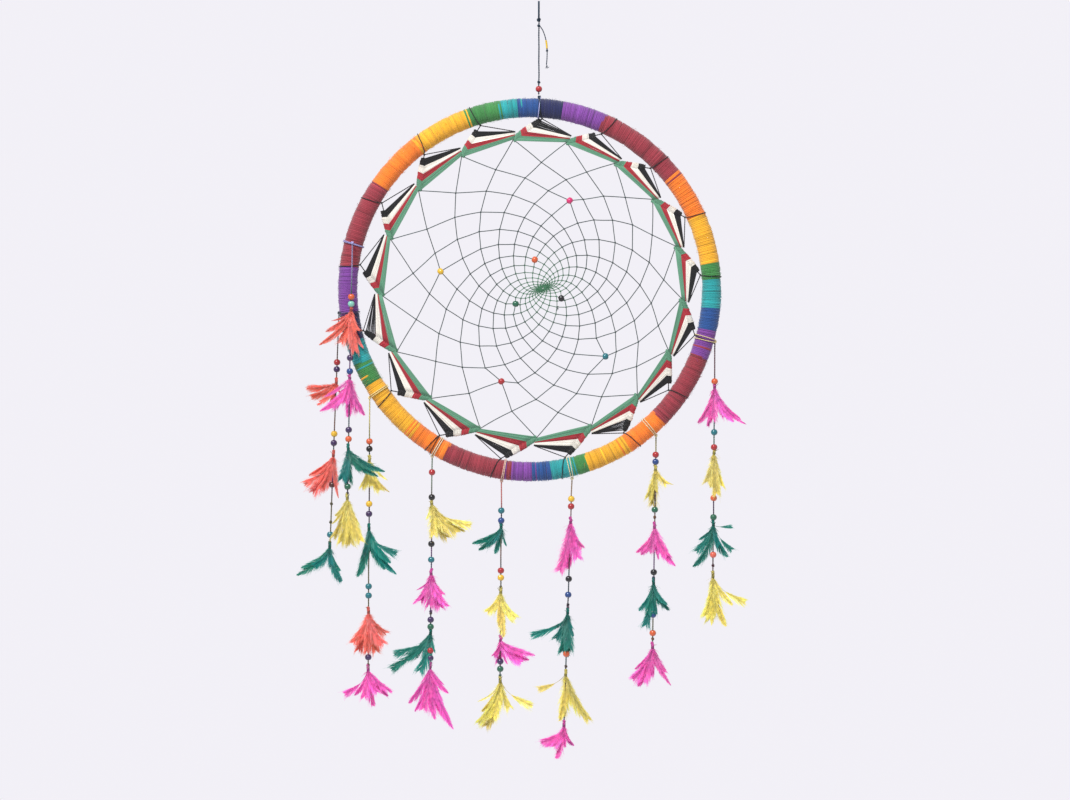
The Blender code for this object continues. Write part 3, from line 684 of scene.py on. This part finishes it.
def wind_block(shape, rng, name, i):
    """Turns of the wound block, each a flat loop round the spine."""
    yarn = BORDER_YARNS[name]
    tip, out, across, length = spine(i)
    start, end = block_ends(name, i)
    count = int((end - start) * length / BLOCK_PITCH)
    loop = np.linspace(0, TAU, 15)
    lines, tones = [], []
    for k in range(count):
        share = start + (end - start) * (k + 0.5) / count
        wide = across_at(out, across, share)
        grow = np.interp(share, *(BLACK_WIDTHS if name == "black" else BLOCK_WIDTHS))
        spread = yarn.half * grow * (1 + rng.normal(0, 0.05))
        shift = rng.normal(0, 0.18 * MM)
        bulge = BLOCK_DEPTH + rng.normal(0, 0.1 * MM)
        ends = tip + out * share * length + wide * shift + np.outer(np.cos(loop) * spread, wide)
        ends = ends + np.outer(np.sin(loop) * 0.3 * MM, out)
        lines.append(placed(ends, -np.sin(loop) * bulge))
        tones.append(rng.normal(1.0, 0.08))
    sweep(shape, np.array(lines), BLOCK_THREAD_R, toned(linear(yarn.colour), tones), up=(out[0], 0, out[1]),
          sides=5, cap=False)


def run_threads(shape, rng, name, i):
    """Threads from this spine's block to the face of the next corner."""
    yarn = BORDER_YARNS[name]
    tip, out, across, length = spine(i)
    start, end = block_ends(name, i)
    t = np.linspace(0, 1, 8)
    lines, tones = [], []
    for k in range(yarn.threads):
        order = k / (yarn.threads - 1)
        share = start + (end - start) * (0.06 + 0.88 * order)
        wide = across_at(out, across, share)
        grow = np.interp(share, (0, 0.08, 1), (0.5, 1, 1)) if name == "green" else 1.0
        first = tip + out * share * length + wide * yarn.half * (0.4 if name == "black" else 0.55) * grow
        last = on_face(i + 1, yarn.face[0] + (yarn.face[1] - yarn.face[0]) * order)
        sag = rng.normal(0, 0.28 * MM) * np.sin(t * math.pi)
        line = first + np.outer(t, last - first) + np.outer(sag, out)
        depth = -yarn.front + rng.normal(0, 0.14 * MM) + 0.3 * MM * ((k % 2) - 0.5) * t
        lines.append(placed(line, depth))
        tones.append(rng.normal(0.8 if name == "red" else 1.0, 0.08))
    taper = np.linspace(1.0, 0.75, 8)
    sweep(shape, np.array(lines), yarn.thick * taper, toned(linear(yarn.colour), tones))


def tie_spine(shape, rng, i):
    """The black thread from the block to the hoop, round it, and on to the next corner."""
    tint = linear(BORDER_YARNS["black"].colour)
    tip, out, _, length = spine(i)
    tie = tip + out * length
    top = tip + out * (block_ends("black", i)[1] - 0.03) * length
    plied(shape, placed([top, tie]), 0.75 * MM, tint)
    plied(shape, placed([tie, on_face(i + 1, 1.0)]), 0.68 * MM, tint)
    turn = np.linspace(0, TAU, 49)
    slant = math.radians(rng.uniform(0.8, 2.6)) * (1 if rng.random() < 0.6 else -1)
    place = FIRST_TIE + spaced(i) + slant * np.cos(turn / 2 - math.pi / 2)
    sunk = rng.random() < 0.3
    depth = TIE_LAY_R - (0.75 * MM if sunk else 0) * np.clip(np.cos(turn - 1.0), 0, 1)
    sweep(shape, round_tube(place, turn + math.pi, depth), 0.6 * MM, tint, up=along_hoop(place))
    knot(shape, placed(tie, -0.4 * MM), 1.3 * MM, tint, rng, axis=(out[0], 0, out[1]))


def make_border():
    for order, name in enumerate(BORDER_YARNS):
        rng = rng_for(10 + order)
        shape = Shape()
        for i in range(SPINES):
            wind_block(shape, rng, name, i)
            run_threads(shape, rng, name, i)
            if name == "black":
                tie_spine(shape, rng, i)
        look = thread_material(f"yarn_{name}_look", 0.8, 0.25)
        shape.build(f"border_{name}_thread", look, "hoop", f"border_{name}_yarn", f"yarn_{name}")


# ---- web

def web_knot(ring, i):
    """A knot of the web: ring 0 is the border's corners, and the rings close in towards the hub."""
    if ring == 0:
        return on_front(CORNER_R - TIP_INSET, FIRST_CORNER + spaced(i % SPINES), BORDER_CENTRE)
    centre = BORDER_CENTRE + (HUB_CENTRE - BORDER_CENTRE) * (1 - (1 - CENTRE_DRIFT) ** ring)
    radius = FIRST_RING_R * math.exp(-(ring - 1) * (RING_DECAY + DECAY_GROWTH * (ring - 1)))
    angle = FIRST_CORNER + (i + ring / 2) * STEP + ring * (WEB_TURN + ring * TURN_GROWTH)
    stretch = HUB_STRETCH * min(ring / CAD_WEB_RINGS, 1.0) ** 3
    line = on_front(1.0, HUB_LINE)
    spot = on_front(radius, angle)
    return centre + spot * (1 - stretch) + line * (2 * stretch * (spot @ line))


def strung_beads():
    """The knot that each web bead sits at, as (ring, i), with the bead's colour and its CAD place."""
    places = list(product(range(1, CAD_WEB_RINGS - 1), range(SPINES)))
    beads = {}
    for colour in WEB_BEADS:
        spot = (middle_of(f"web_bead_{colour}") - CENTRE)[[0, 2]]
        near = min(places, key=lambda place: np.linalg.norm(web_knot(*place) - spot))
        beads[near] = (colour, spot)
    return beads


def web_place(beads, ring, i):
    """A knot's place, or its bead's."""
    key = (ring, i % SPINES)
    return beads[key][1] if key in beads else web_knot(*key)


def hub_share(rings):
    """How far the thread has turned to the hub's colour at these rings."""
    return np.clip((np.asarray(rings) - HUB_FADE[0]) / (HUB_FADE[1] - HUB_FADE[0]), 0, 1)[:, None]


def web_tints(rings):
    tint = linear(WEB_COLOUR)
    return (tint + (linear(HUB_COLOUR) - tint) * hub_share(rings))[:, None]


def string_threads(shape, rng, beads):
    """The web's threads from knot to knot, each a little bowed."""
    t = np.linspace(0, 1, 5)
    lines, tones, rings = [], [], []
    for ring, i, step in product(range(WEB_RINGS - 1), range(SPINES), (0, -1)):
        first, last = web_place(beads, ring, i), web_place(beads, ring + 1, i + step)
        gap = np.linalg.norm(last - first)
        along = (last - first) / gap
        if (ring, i) in beads:
            first = first + along * BEAD_GAP
        if (ring + 1, (i + step) % SPINES) in beads:
            last = last - along * BEAD_GAP
        bow = rng.normal(0, 0.006) * gap
        bent = first + np.outer(t, last - first)
        bent = bent + np.outer(np.sin(t * math.pi) * bow, (along[1], -along[0]))
        lines.append(placed(bent, rng.normal(0, 0.12 * MM) * np.sin(t * math.pi)))
        tones.append(rng.normal(1.0, 0.1))
        rings.append(ring)
    radii = WEB_THREAD_R * (1 - 0.25 * hub_share(rings))
    sweep(shape, np.array(lines), radii, toned(web_tints(rings), tones), cap=False)


def tie_hitches(shape, beads):
    """A half hitch at each crossing: a turn and a half of thread drawn tight."""
    coil = np.linspace(0, TAU * 1.5, 15)
    lines, ups, rings = [], [], []
    for ring, i in product(range(1, WEB_RINGS), range(SPINES)):
        if (ring, i) in beads:
            continue
        spot = web_knot(ring, i)
        along = web_place(beads, ring - 1, i) - spot
        along = along / np.linalg.norm(along)
        size = np.interp(ring, (9, 15), (0.78, 0.5)) * MM
        line = spot + np.outer(np.cos(coil) * size, (along[1], -along[0]))
        line = line + np.outer((coil / coil[-1] - 0.5) * 1.3 * MM, along)
        lines.append(placed(line, np.sin(coil) * size))
        ups.append((along[0], 0, along[1]))
        rings.append(ring)
    sweep(shape, np.array(lines), HITCH_THREAD_R, web_tints(rings), up=np.array(ups)[:, None], sides=5)


def fray_end(shape, rng):
    """The thread's cut end, frayed, below the hub."""
    spots = [web_knot(*key) for key in product(range(8, 13), range(SPINES))]
    spot = min(spots, key=lambda place: np.linalg.norm(place - WEB_END))
    for _ in range(5):
        end = spot + rng.normal((0.5, -3.6), 1.5) * MM
        middle = (spot + end) / 2 + rng.normal(0, 0.8, 2) * MM
        sweep(shape, placed([spot, middle, end], -0.7 * MM), 0.3 * MM, linear(WEB_COLOUR), sides=5)


def make_web():
    rng = rng_for(20)
    beads = strung_beads()
    shape = Shape()
    string_threads(shape, rng, beads)
    tie_hitches(shape, beads)
    for i in range(SPINES):
        knot(shape, placed(web_knot(0, i)), 1.15 * MM, linear(CORNER_KNOT_COLOUR), rng)
    fray_end(shape, rng)
    look = thread_material("web_thread_look", 0.75, 0.2)
    shape.build("web_threads", look, "hoop", "web_net", "web_thread")

    for (ring, i), (colour, spot) in beads.items():
        shape = Shape()
        along = web_place(beads, ring + 1, i) - web_place(beads, ring - 1, i)
        bead(shape, placed(spot), (along[0], 0, along[1]), linear(BEAD_COLOURS[colour]))
        look = bead_material(f"bead_{colour}_look")
        name = f"bead_{colour}"
        shape.build(f"web_{name}_painted", look, name, f"web_{name}", name)


# ---- hanger

def make_loop(look):
    """The hanging loop. Its hole faces sideways, as it hangs over a rail that runs across the wall."""
    tint = linear(HANGER_COLOUR)
    lo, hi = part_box("hang_loop")
    x, y, _ = middle_of("hang_loop")
    radius = (hi[1] - lo[1]) / 2 - LOOP_CORD_R
    level = hi[2] - LOOP_CORD_R - radius
    turn = np.linspace(0, TAU, 61)
    ring = np.stack([x + 0 * turn, y + radius * np.sin(turn), level + radius * np.cos(turn)], 1)
    shape = Shape()
    plied(shape, ring, LOOP_CORD_R, tint, up=(1.0, 0.0, 0.0))
    # The knot is the cord's colour darkened, as painted shade in its folds.
    knot(shape, (x, y, level - radius - 0.6 * MM), 2.6 * MM, tint * 0.8, rng_for(30))
    shape.build("hang_loop_plies", look, "loop", "hang_loop", "hanger_cord")


def hanger_shades(reach):
    """The hanger cord's colour along its length, with purple stretches."""
    tint = linear(HANGER_COLOUR)
    wave = wander(rng_for(32), len(reach), 60)[:, None]
    return np.clip(tint * (1 + 0.25 * wave) + linear(PURPLE_COLOUR) * 0.25 * np.clip(wave, 0, 1), 0, 1)


def make_hanger_cord(look, rng):
    """The cord from the loop to the hoop, and its loose tail, past a yellow binding to a frayed end."""
    tint = linear(HANGER_COLOUR)
    lo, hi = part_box("hanger_cord")
    x, y, _ = middle_of("hang_loop")
    shape = Shape()
    steps = np.linspace(0, 1, 12)
    drift = 0.25 * MM * wander(rng, 12, 2)
    line = np.stack([x + drift, y + 0 * steps, hi[2] + 1.5 * MM + (lo[2] - hi[2] - 2.5 * MM) * steps], 1)
    plied(shape, line, HANGER_R, hanger_shades)
    # These knots are the cord's colour darkened, as painted shade in their folds.
    for z in (hi[2] - 3.5 * MM, lo[2] + 13.8 * MM):
        knot(shape, (x, y, z), 2.0 * MM, tint * 0.7, rng)
    share = np.linspace(0, 1, 24)
    tail = np.stack([
        x + 11 * MM * np.sin(share * 1.9) * (1 - 0.12 * share),
        y - 1.0 * MM * np.sin(share * 9), hi[2] - 3.5 * MM - 47 * MM * share ** 1.5,
    ], 1)
    plied(shape, tail, 0.72 * MM, hanger_shades)
    plied(shape, tail[12:17], 1.15 * MM, linear(BINDING_COLOUR), lay=1.6 * MM)
    # This knot too is the cord's colour darkened, as painted shade in its folds.
    knot(shape, tail[17], 1.5 * MM, tint * 0.7, rng)
    curl = np.linspace(0, 1, 9)
    for _ in range(9):
        swing, bend = rng.normal(0, 2.0) * MM, rng.normal(1.5, 1.5) * MM
        fray = tail[-1] + np.stack([
            swing * curl + bend * curl ** 2, rng.normal(0, 1.4) * MM * curl,
            -rng.uniform(3, 8) * MM * curl + 3.5 * MM * curl ** 4,
        ], 1)
        sweep(shape, fray, 0.16 * MM, tint * rng.uniform(0.7, 1.3), sides=4)
    shape.build("hanger_cord_plies", look, "hanger", "hanger_cord", "hanger_cord")


def make_hoop_tie(look, rng):
    """The cord tied round the hoop, and the pale lilac thread beside it."""
    tint = linear(HANGER_COLOUR)
    angle = math.asin((middle_of("hang_loop")[0] - CENTRE[0]) / HOOP_R)
    turn = np.linspace(0, TAU, 61)
    shape = Shape()
    line = round_tube(angle + math.radians(0.35) * np.sin(turn), turn, 12.7 * MM)
    plied(shape, line, 0.75 * MM, tint, up=along_hoop(angle))
    line = round_tube(angle + 0.002 + 0.004 * np.cos(turn), turn, 12.6 * MM)
    sweep(shape, line, 0.5 * MM, linear(LILAC_COLOUR), up=along_hoop(angle))
    # The knot is the cord's colour darkened, as painted shade in its folds.
    knot(shape, round_tube(angle, 0.0, 13.2 * MM), 2.2 * MM, tint * 0.75, rng)
    shape.build("hoop_tie_plies", look, "hoop", "hoop_tie", "hanger_cord")


def make_hanger(look):
    rng = rng_for(31)
    make_loop(look)
    make_hanger_cord(look, rng)
    shape = Shape()
    bead(shape, middle_of("hanger_bead"), (0, 0, 1), linear(BEAD_COLOURS["red"]))
    shape.build("hanger_bead_painted", bead_material("bead_red_hanger_look"), "swivel", "hanger_bead",
                "bead_red")
    make_hoop_tie(look, rng)


# ---- feathers

def feather(shape, rng, root, tip, sag, out, kind, tint):
    """One small dyed feather from root to tip: a tapering quill with barbs down both sides.

    sag pushes the curve's middle, and out is roughly the way that the vane faces.
    """
    width, bare, downy, widen, narrow = FEATHER_KINDS[kind]
    length = np.linalg.norm(tip - root)
    width *= np.clip(length / FULL_FEATHER, 0.6, 1.25)
    middle = (root + tip) / 2 + sag

    def curve(u):
        place = (1 - u) ** 2 * root + 2 * u * (1 - u) * middle + u ** 2 * tip
        return place, unit(2 * (1 - u) * (middle - root) + 2 * u * (tip - middle))

    line, _ = curve(np.linspace(0, 1, QUILL_STEPS)[:, None])
    shade = np.linspace(0.62, 0.9, QUILL_STEPS)[:, None]
    radii = np.linspace(0.34, 0.1, QUILL_STEPS) * MM
    sweep(shape, line, radii, np.clip(tint * shade, 0, 1), sides=5, up=unit(out))
    peak = widen / (widen + narrow)
    fullest = peak ** widen * (1 - peak) ** narrow
    count = max(14, int(length * (1 - bare) / BARB_PITCH * (0.55 if kind == "wisp" else 1.0)))
    s = np.linspace(0, 1, 4)[None, :, None]
    for hand in (-1, 1):
        v = np.linspace(0.01, 0.985, count)[:, None]
        base, along = curve(bare + (1 - bare) * v)
        side = unit(np.cross(along, out)) * hand
        face = np.cross(side, along)
        down = np.clip(1 - v / 0.5, 0, 1) * downy
        # Barbs cling together in clumps, with splits between them.
        sizes = rng.integers(4, 12, count)
        clump = np.repeat(rng.normal(0, 1, count), sizes)[:count, None]
        lean = math.radians(25) + math.radians(30) * down + 0.06 * clump
        lean = np.clip(lean + rng.normal(0, 0.04, (count, 1)) * (1 + 4 * down), 0.2, 1.4)
        vane = width * v ** widen * (1 - v) ** narrow / fullest
        reach = np.minimum(vane / np.sin(lean), 13 * MM) * (1 + 0.07 * clump)
        # Near the tip the barbs stop short, so that the vane ends round.
        reach = np.minimum(reach, (1 - v) * length * (1 - bare) / np.cos(lean) + 1.8 * MM)
        # Some barbs stand clear of the vane as a soft edge.
        stray = rng.random((count, 1)) < STRAY_SHARE
        reach = reach * (1 + rng.normal(0, 0.05, (count, 1))) * (1 + 0.35 * stray)
        reach = np.clip(reach, LEAST_BARB, MOST_BARB)
        heading = along * np.cos(lean) + side * np.sin(lean)
        curl = rng.normal(0.1, 0.12, (count, 1)) * (1 + 3 * down)
        rise = rng.normal(0.08, 0.06, (count, 1)) * (1 + 3 * down) + 0.05 * clump + 0.25 * stray
        bent = along[:, None] * (curl[:, None] + 0.1) * s ** 2
        raised = face[:, None] * rise[:, None] * s ** 2
        barbs = base[:, None] + reach[:, None] * (heading[:, None] * s + bent + raised)
        blade = unit(np.cross(face, heading))[:, None] * np.ones_like(s)
        blade = unit(blade + face[:, None] * rng.normal(0.05, 0.12, (count, 1, 1)))
        half = (BARB_HALF * (1 - 0.35 * down) * (1 - 0.45 * stray))[:, None] * BARB_WIDTHS[:, None]
        verts = np.stack([barbs - blade * half, barbs + blade * half], 2)
        index = np.arange(count * 8).reshape(count, 4, 2)
        quads = np.stack([index[:, :-1, 0], index[:, :-1, 1], index[:, 1:, 1], index[:, 1:, 0]], -1)
        tone = (1 + 0.07 * clump + rng.normal(0, 0.05, (count, 1)))[:, :, None, None]
        tone = tone * BARB_SHADES[:, None, None]
        pale = (0.12 * down + 0.05 * np.clip(clump, 0, 2))[:, :, None, None]
        tints = np.clip((tint + (1 - tint) * pale) * tone * np.ones((1, 1, 2, 1)), 0, 1)
        shape.add(verts, quads, tints.reshape(-1, 3), np.zeros((count * 3, 4, 2)))


def fluff(shape, rng, centre, tint):
    """Short curled down that hangs round a binding."""
    start = np.asarray(centre) + rng.normal(0, 0.5 * MM, (FLUFF_COUNT, 3))
    turn = rng.uniform(0, TAU, FLUFF_COUNT)
    heading = np.stack([np.cos(turn), 0.75 * np.sin(turn), -rng.uniform(0.5, 3.0, FLUFF_COUNT)], 1)
    heading = unit(heading) * rng.uniform(0.45, 1.0, (FLUFF_COUNT, 1)) * FLUFF_REACH
    s = np.linspace(0, 1, 6)[None, :, None]
    curl = rng.normal(0, 0.3, (FLUFF_COUNT, 3))[:, None] * FLUFF_REACH
    droop = np.array((0, 0, -FLUFF_DROP)) * s ** 2 * 0.3
    line = start[:, None] + heading[:, None] * s + curl * s ** 2 + droop
    tones = rng.normal(1.05, 0.1, FLUFF_COUNT)
    radii = np.array((0.2, 0.2, 0.17, 0.14, 0.1, 0.05)) * MM
    up = unit(rng.normal(size=(FLUFF_COUNT, 1, 3)))
    sweep(shape, line, radii, toned(tint, tones), sides=3, cap=False, up=up)


def bind_quills(shape, rng, root, tint):
    """The binding, the quills' knotted ends above it, and an end or two that stick out."""
    turn = np.linspace(0, TAU * 3.5, 50)
    coil = root + np.stack([1.6 * np.cos(turn), 1.6 * np.sin(turn), 0.2 - turn / TAU * 0.75], 1) * MM
    sweep(shape, coil, 0.42 * MM, tint * 0.5, up=(0, 0, 1), sides=5)
    for rise in (1.6, 4.2):
        knot(shape, root + np.array((rng.normal(0, 0.3), 0, rise)) * MM, 2.1 * MM, tint * 0.85, rng)
    for _ in range(3):
        end = root + np.array((rng.normal(0, 2.4), rng.normal(0, 1.2), rng.uniform(1.0, 5.5))) * MM
        quill = np.stack([root, (root + end) / 2 + rng.normal(0, 0.4, 3) * MM, end])
        sweep(shape, quill, np.array((0.36, 0.32, 0.22)) * MM, tint * 0.45, sides=5)


def make_tuft(name, number, look):
    """A bound tuft inside its CAD node's box: its feathers reach the box's left, right and lowest sides."""
    rng = rng_for(100 + number)
    lo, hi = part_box(name)
    node = frame["nodes"][name]
    points = np.array([v.co for v in node.data.vertices])
    root = points[points[:, 2] > hi[2] - 0.5 * MM].mean(0)
    left, right, drop = root[0] - lo[0], hi[0] - root[0], hi[2] - lo[2]
    slot = next(s["material_slot"] for s in frame["record"]["subparts"] if s["node"] == name)
    tint = linear(FEATHER_COLOURS[slot.removeprefix("feather_")])
    shape = Shape()
    kinds = {kind[0]: kind for kind in FEATHER_KINDS}
    plans = TUFT_FEATHERS[name.removeprefix("strand_").replace("_tuft", "")]
    for order, plan in enumerate(plans.split()):
        reach, down = (float(part) / 100 for part in plan[1:].split(","))
        across = reach * (left if reach < 0 else right)
        forward = (0.55 if order % 2 else -0.55) * rng.uniform(0.4, 1.2) * TUFT_DEEP
        tip = root + np.array((across, forward, -drop * down * 0.97))
        span = np.linalg.norm(tip - root)
        # Most feathers leave the binding downwards and bend outwards.
        bend = rng.uniform(0.22, 0.5)
        sag = np.array((-across * bend, forward * 0.3, -span * rng.uniform(0.0, 0.14)))
        out = unit(np.array((rng.normal(0, 0.4), -1.0, rng.normal(0, 0.3))))
        shade = np.clip(tint * rng.normal(1.0, 0.09) + rng.normal(0, 0.012, 3), 0, 1)
        start = root + np.array((rng.normal(0, 0.6), rng.normal(0, 0.6), rng.uniform(-1.5, 1))) * MM
        feather(shape, rng, start, tip, sag, out, kinds[plan[0]], shade)
    fluff(shape, rng, root - np.array((0, 0, 0.05 * drop)), tint)
    bind_quills(shape, rng, root, tint)
    shape.build(name.replace("tuft", "feathers"), look, node["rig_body"], name, slot)


# ---- strands

def fittings(node):
    """The ends of a cord's line and what is on it, from the top, as (kind, place), from its CAD mesh."""
    points = np.array([v.co for v in frame["nodes"][node].data.vertices])
    points = points[np.argsort(-points[:, 2])]
    along = unit(points[-THIN_SIDES:].mean(0) - points[:THIN_SIDES].mean(0))
    points = points[np.argsort(points @ along)]
    breaks = np.flatnonzero(np.diff(points @ along) > RING_GAP) + 1
    rings = np.split(points, breaks)
    middles = [(ring.min(0) + ring.max(0)) / 2 for ring in rings]
    sizes = [(ring[:, 1].max() - ring[:, 1].min()) / 2 for ring in rings]
    found, k = [], 0
    while k < len(rings) - 1:
        if min(sizes[k], sizes[k + 1]) > LEAST_KNOT:
            kind = "bead" if sizes[k] > LEAST_BEAD else "knot"
            found.append((kind, (middles[k] + middles[k + 1]) / 2))
            k += 2
        else:
            k += 1
    return np.array([middles[0], middles[-1]]), found


def cord_shades(number):
    """A colour for each distance along a strand's cord, which changes slowly from dye to dye."""
    rng = rng_for(300 + number)
    picks = np.array([linear(CORD_COLOURS[k]) for k in rng.integers(0, len(CORD_COLOURS), 16)])
    if number in CORD_STARTS:
        picks[:2] = linear(CORD_STARTS[number])
    span = rng.uniform(18, 34) * MM

    def shades(reach):
        spot = np.atleast_1d(reach) / span
        return np.stack([np.interp(spot, np.arange(16), picks[:, k]) for k in range(3)], 1)

    return shades


def fit_cord(shape, painted, rng, found, colours, knot_shade):
    """A cord's knots in one shape and its beads in the other. Each bead takes the next colour, and each knot
    the cord's colour darkened as painted shade.
    """
    for kind, place in found:
        if kind == "bead":
            lean = (rng.normal(0, 0.08), rng.normal(0, 0.08), 1)
            bead(painted, place, lean, linear(BEAD_COLOURS[colours.pop(0)]))
        else:
            # The knot is the cord's colour there, darkened as painted shade in its folds.
            knot(shape, place, CORD_KNOT_R, knot_shade(place)[0] * 0.8, rng)


def make_strand(number, cord_look, bead_look):
    rng = rng_for(200 + number)
    shades = cord_shades(number)
    colours = STRAND_BEADS[number].split()
    body, foot_body = f"strand_{number}", f"strand_{number}_foot"
    (top, link), found = fittings(f"strand_{number}_cord")
    steps = np.linspace(0, 1, 40)[:, None]
    drift = 0.3 * MM * np.stack([wander(rng, 40, 5), wander(rng, 40, 5), np.zeros(40)], 1)
    drift[0] = drift[-1] = 0
    shape, painted = Shape(), Shape()
    plied(shape, top + (link - top) * steps + drift, CORD_R, shades)
    fit_cord(shape, painted, rng, found, colours, lambda place: shades(top[2] - place[2]))
    knot(shape, top - (0, 0, 0.5 * MM), 2.1 * MM, linear(WRAP_COLOURS[number]), rng)
    shape.build(f"strand_{number}_plies", cord_look, body, f"strand_{number}_cord", "strand_cord")
    painted.build(f"strand_{number}_beads", bead_look, body)

    # Below the link. Three strands have a cord of their own there, with beads.
    shape, painted = Shape(), Shape()
    lowest = max(n for n in frame["nodes"] if n.startswith(f"strand_{number}_tuft"))
    foot = np.array((link[0], link[1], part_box(lowest)[1][2] - 7 * MM))
    tail = f"strand_{number}_tail" if f"strand_{number}_tail" in frame["nodes"] else None
    if tail:
        (_, foot), found = fittings(tail)
        fit_cord(shape, painted, rng, found, colours, lambda place: shades(0.1))
    start = link + np.array((0, 0, 0.3 * MM))
    plied(shape, [start, start + (foot - start) * 0.5, foot], CORD_R, cord_shades(number + 20))
    # The link's knot is the cord's colour darkened, as painted shade in its folds.
    knot(shape, link, 1.9 * MM, shades(0.05)[0] * 0.7, rng)
    shape.build(f"strand_{number}_foot_plies", cord_look, foot_body, tail, "strand_cord")
    if tail:
        painted.build(f"strand_{number}_foot_beads", bead_look, foot_body)

    # The wraps round the hoop that the strand hangs from.
    shape = Shape()
    angle = math.atan2(top[0] - CENTRE[0], top[2] - CENTRE[2])
    turn = np.linspace(0, TAU, 49)
    for k in range(1 if number == 1 else 2):
        shift = (k - 0.5) * 0.0085 + rng.normal(0, 0.002)
        slant = rng.uniform(-0.012, 0.012)
        line = round_tube(angle + shift + slant * np.sin(turn / 2), turn, WRAP_LAY_R)
        plied(shape, line, WRAP_R, linear(WRAP_COLOURS[number]), up=along_hoop(angle))
    if number == 4:
        line = round_tube(angle + 0.014 + 0.01 * np.sin(turn / 2), turn, 12.7 * MM)
        sweep(shape, line, 0.5 * MM, linear(BLACK_WRAP_COLOUR), up=along_hoop(angle))
    shape.build(f"strand_{number}_tie", cord_look, "hoop", slot="strand_cord")


def make_studio():
    """A pale floor, a pale surround, one large soft light and the camera."""
    camera = bpy.data.cameras.new("camera")
    camera.sensor_width = SENSOR_WIDTH
    camera.lens = SENSOR_WIDTH * CAMERA_AWAY / FIELD_WIDTH
    camera.clip_end = 50
    view = bpy.data.objects.new("camera", camera)
    bpy.context.scene.collection.objects.link(view)
    view.location = CAMERA_PLACE
    view.rotation_euler = (math.pi / 2, 0, 0)
    bpy.context.scene.camera = view
    bpy.context.scene.view_settings.view_transform = "Standard"

    bpy.ops.mesh.primitive_circle_add(
        vertices=96, radius=FLOOR_R, fill_type="NGON", location=(0, 0, FLOOR_LEVEL)
    )
    floor = bpy.context.object
    floor.name = "floor"
    made, _, shader = node_material("floor_look")
    feed(shader, {"Base Color": (0.85, 0.84, 0.88, 1)})
    floor.data.materials.append(made)

    # The surround lights the object softly, and the camera sees it as the wall.
    world = bpy.data.worlds.new("surround")
    bpy.context.scene.world = world
    world.use_nodes = True
    tree = world.node_tree
    lit = feed(tree.nodes["Background"], {"Color": (0.97, 0.97, 1.0, 1), "Strength": 0.68})
    seen = add_node(tree, "ShaderNodeBackground", Color=(*linear(WALL_COLOUR), 1), Strength=1.0)
    path = add_node(tree, "ShaderNodeLightPath")
    mix = add_node(tree, "ShaderNodeMixShader", Fac=path.outputs["Is Camera Ray"])
    feed(mix, {1: lit.outputs["Background"], 2: seen.outputs["Background"]})
    feed(tree.nodes["World Output"], {"Surface": mix.outputs["Shader"]})

    light = bpy.data.lights.new("soft_light", "AREA")
    light.shape = "DISK"
    light.size = 1.2
    light.energy = 150
    lamp = bpy.data.objects.new("soft_light", light)
    lamp.location = LAMP_PLACE
    lamp.rotation_euler = (Vector(LAMP_AIM) - lamp.location).to_track_quat("-Z", "Y").to_euler()
    bpy.context.scene.collection.objects.link(lamp)


def main():
    make_hoop()
    make_border()
    make_web()
    make_hanger(thread_material("hanger_cord_look", 0.8, 0.2))
    cord_look = thread_material("strand_cord_look", 0.8, 0.2)
    bead_look = bead_material("strand_bead_look")
    for number in STRAND_BEADS:
        make_strand(number, cord_look, bead_look)
    feather_look = feather_material("feather_look")
    tufts = sorted(name for name in frame["nodes"] if "_tuft_" in name)
    for number, name in enumerate(tufts):
        make_tuft(name, number, feather_look)
    make_studio()


main()
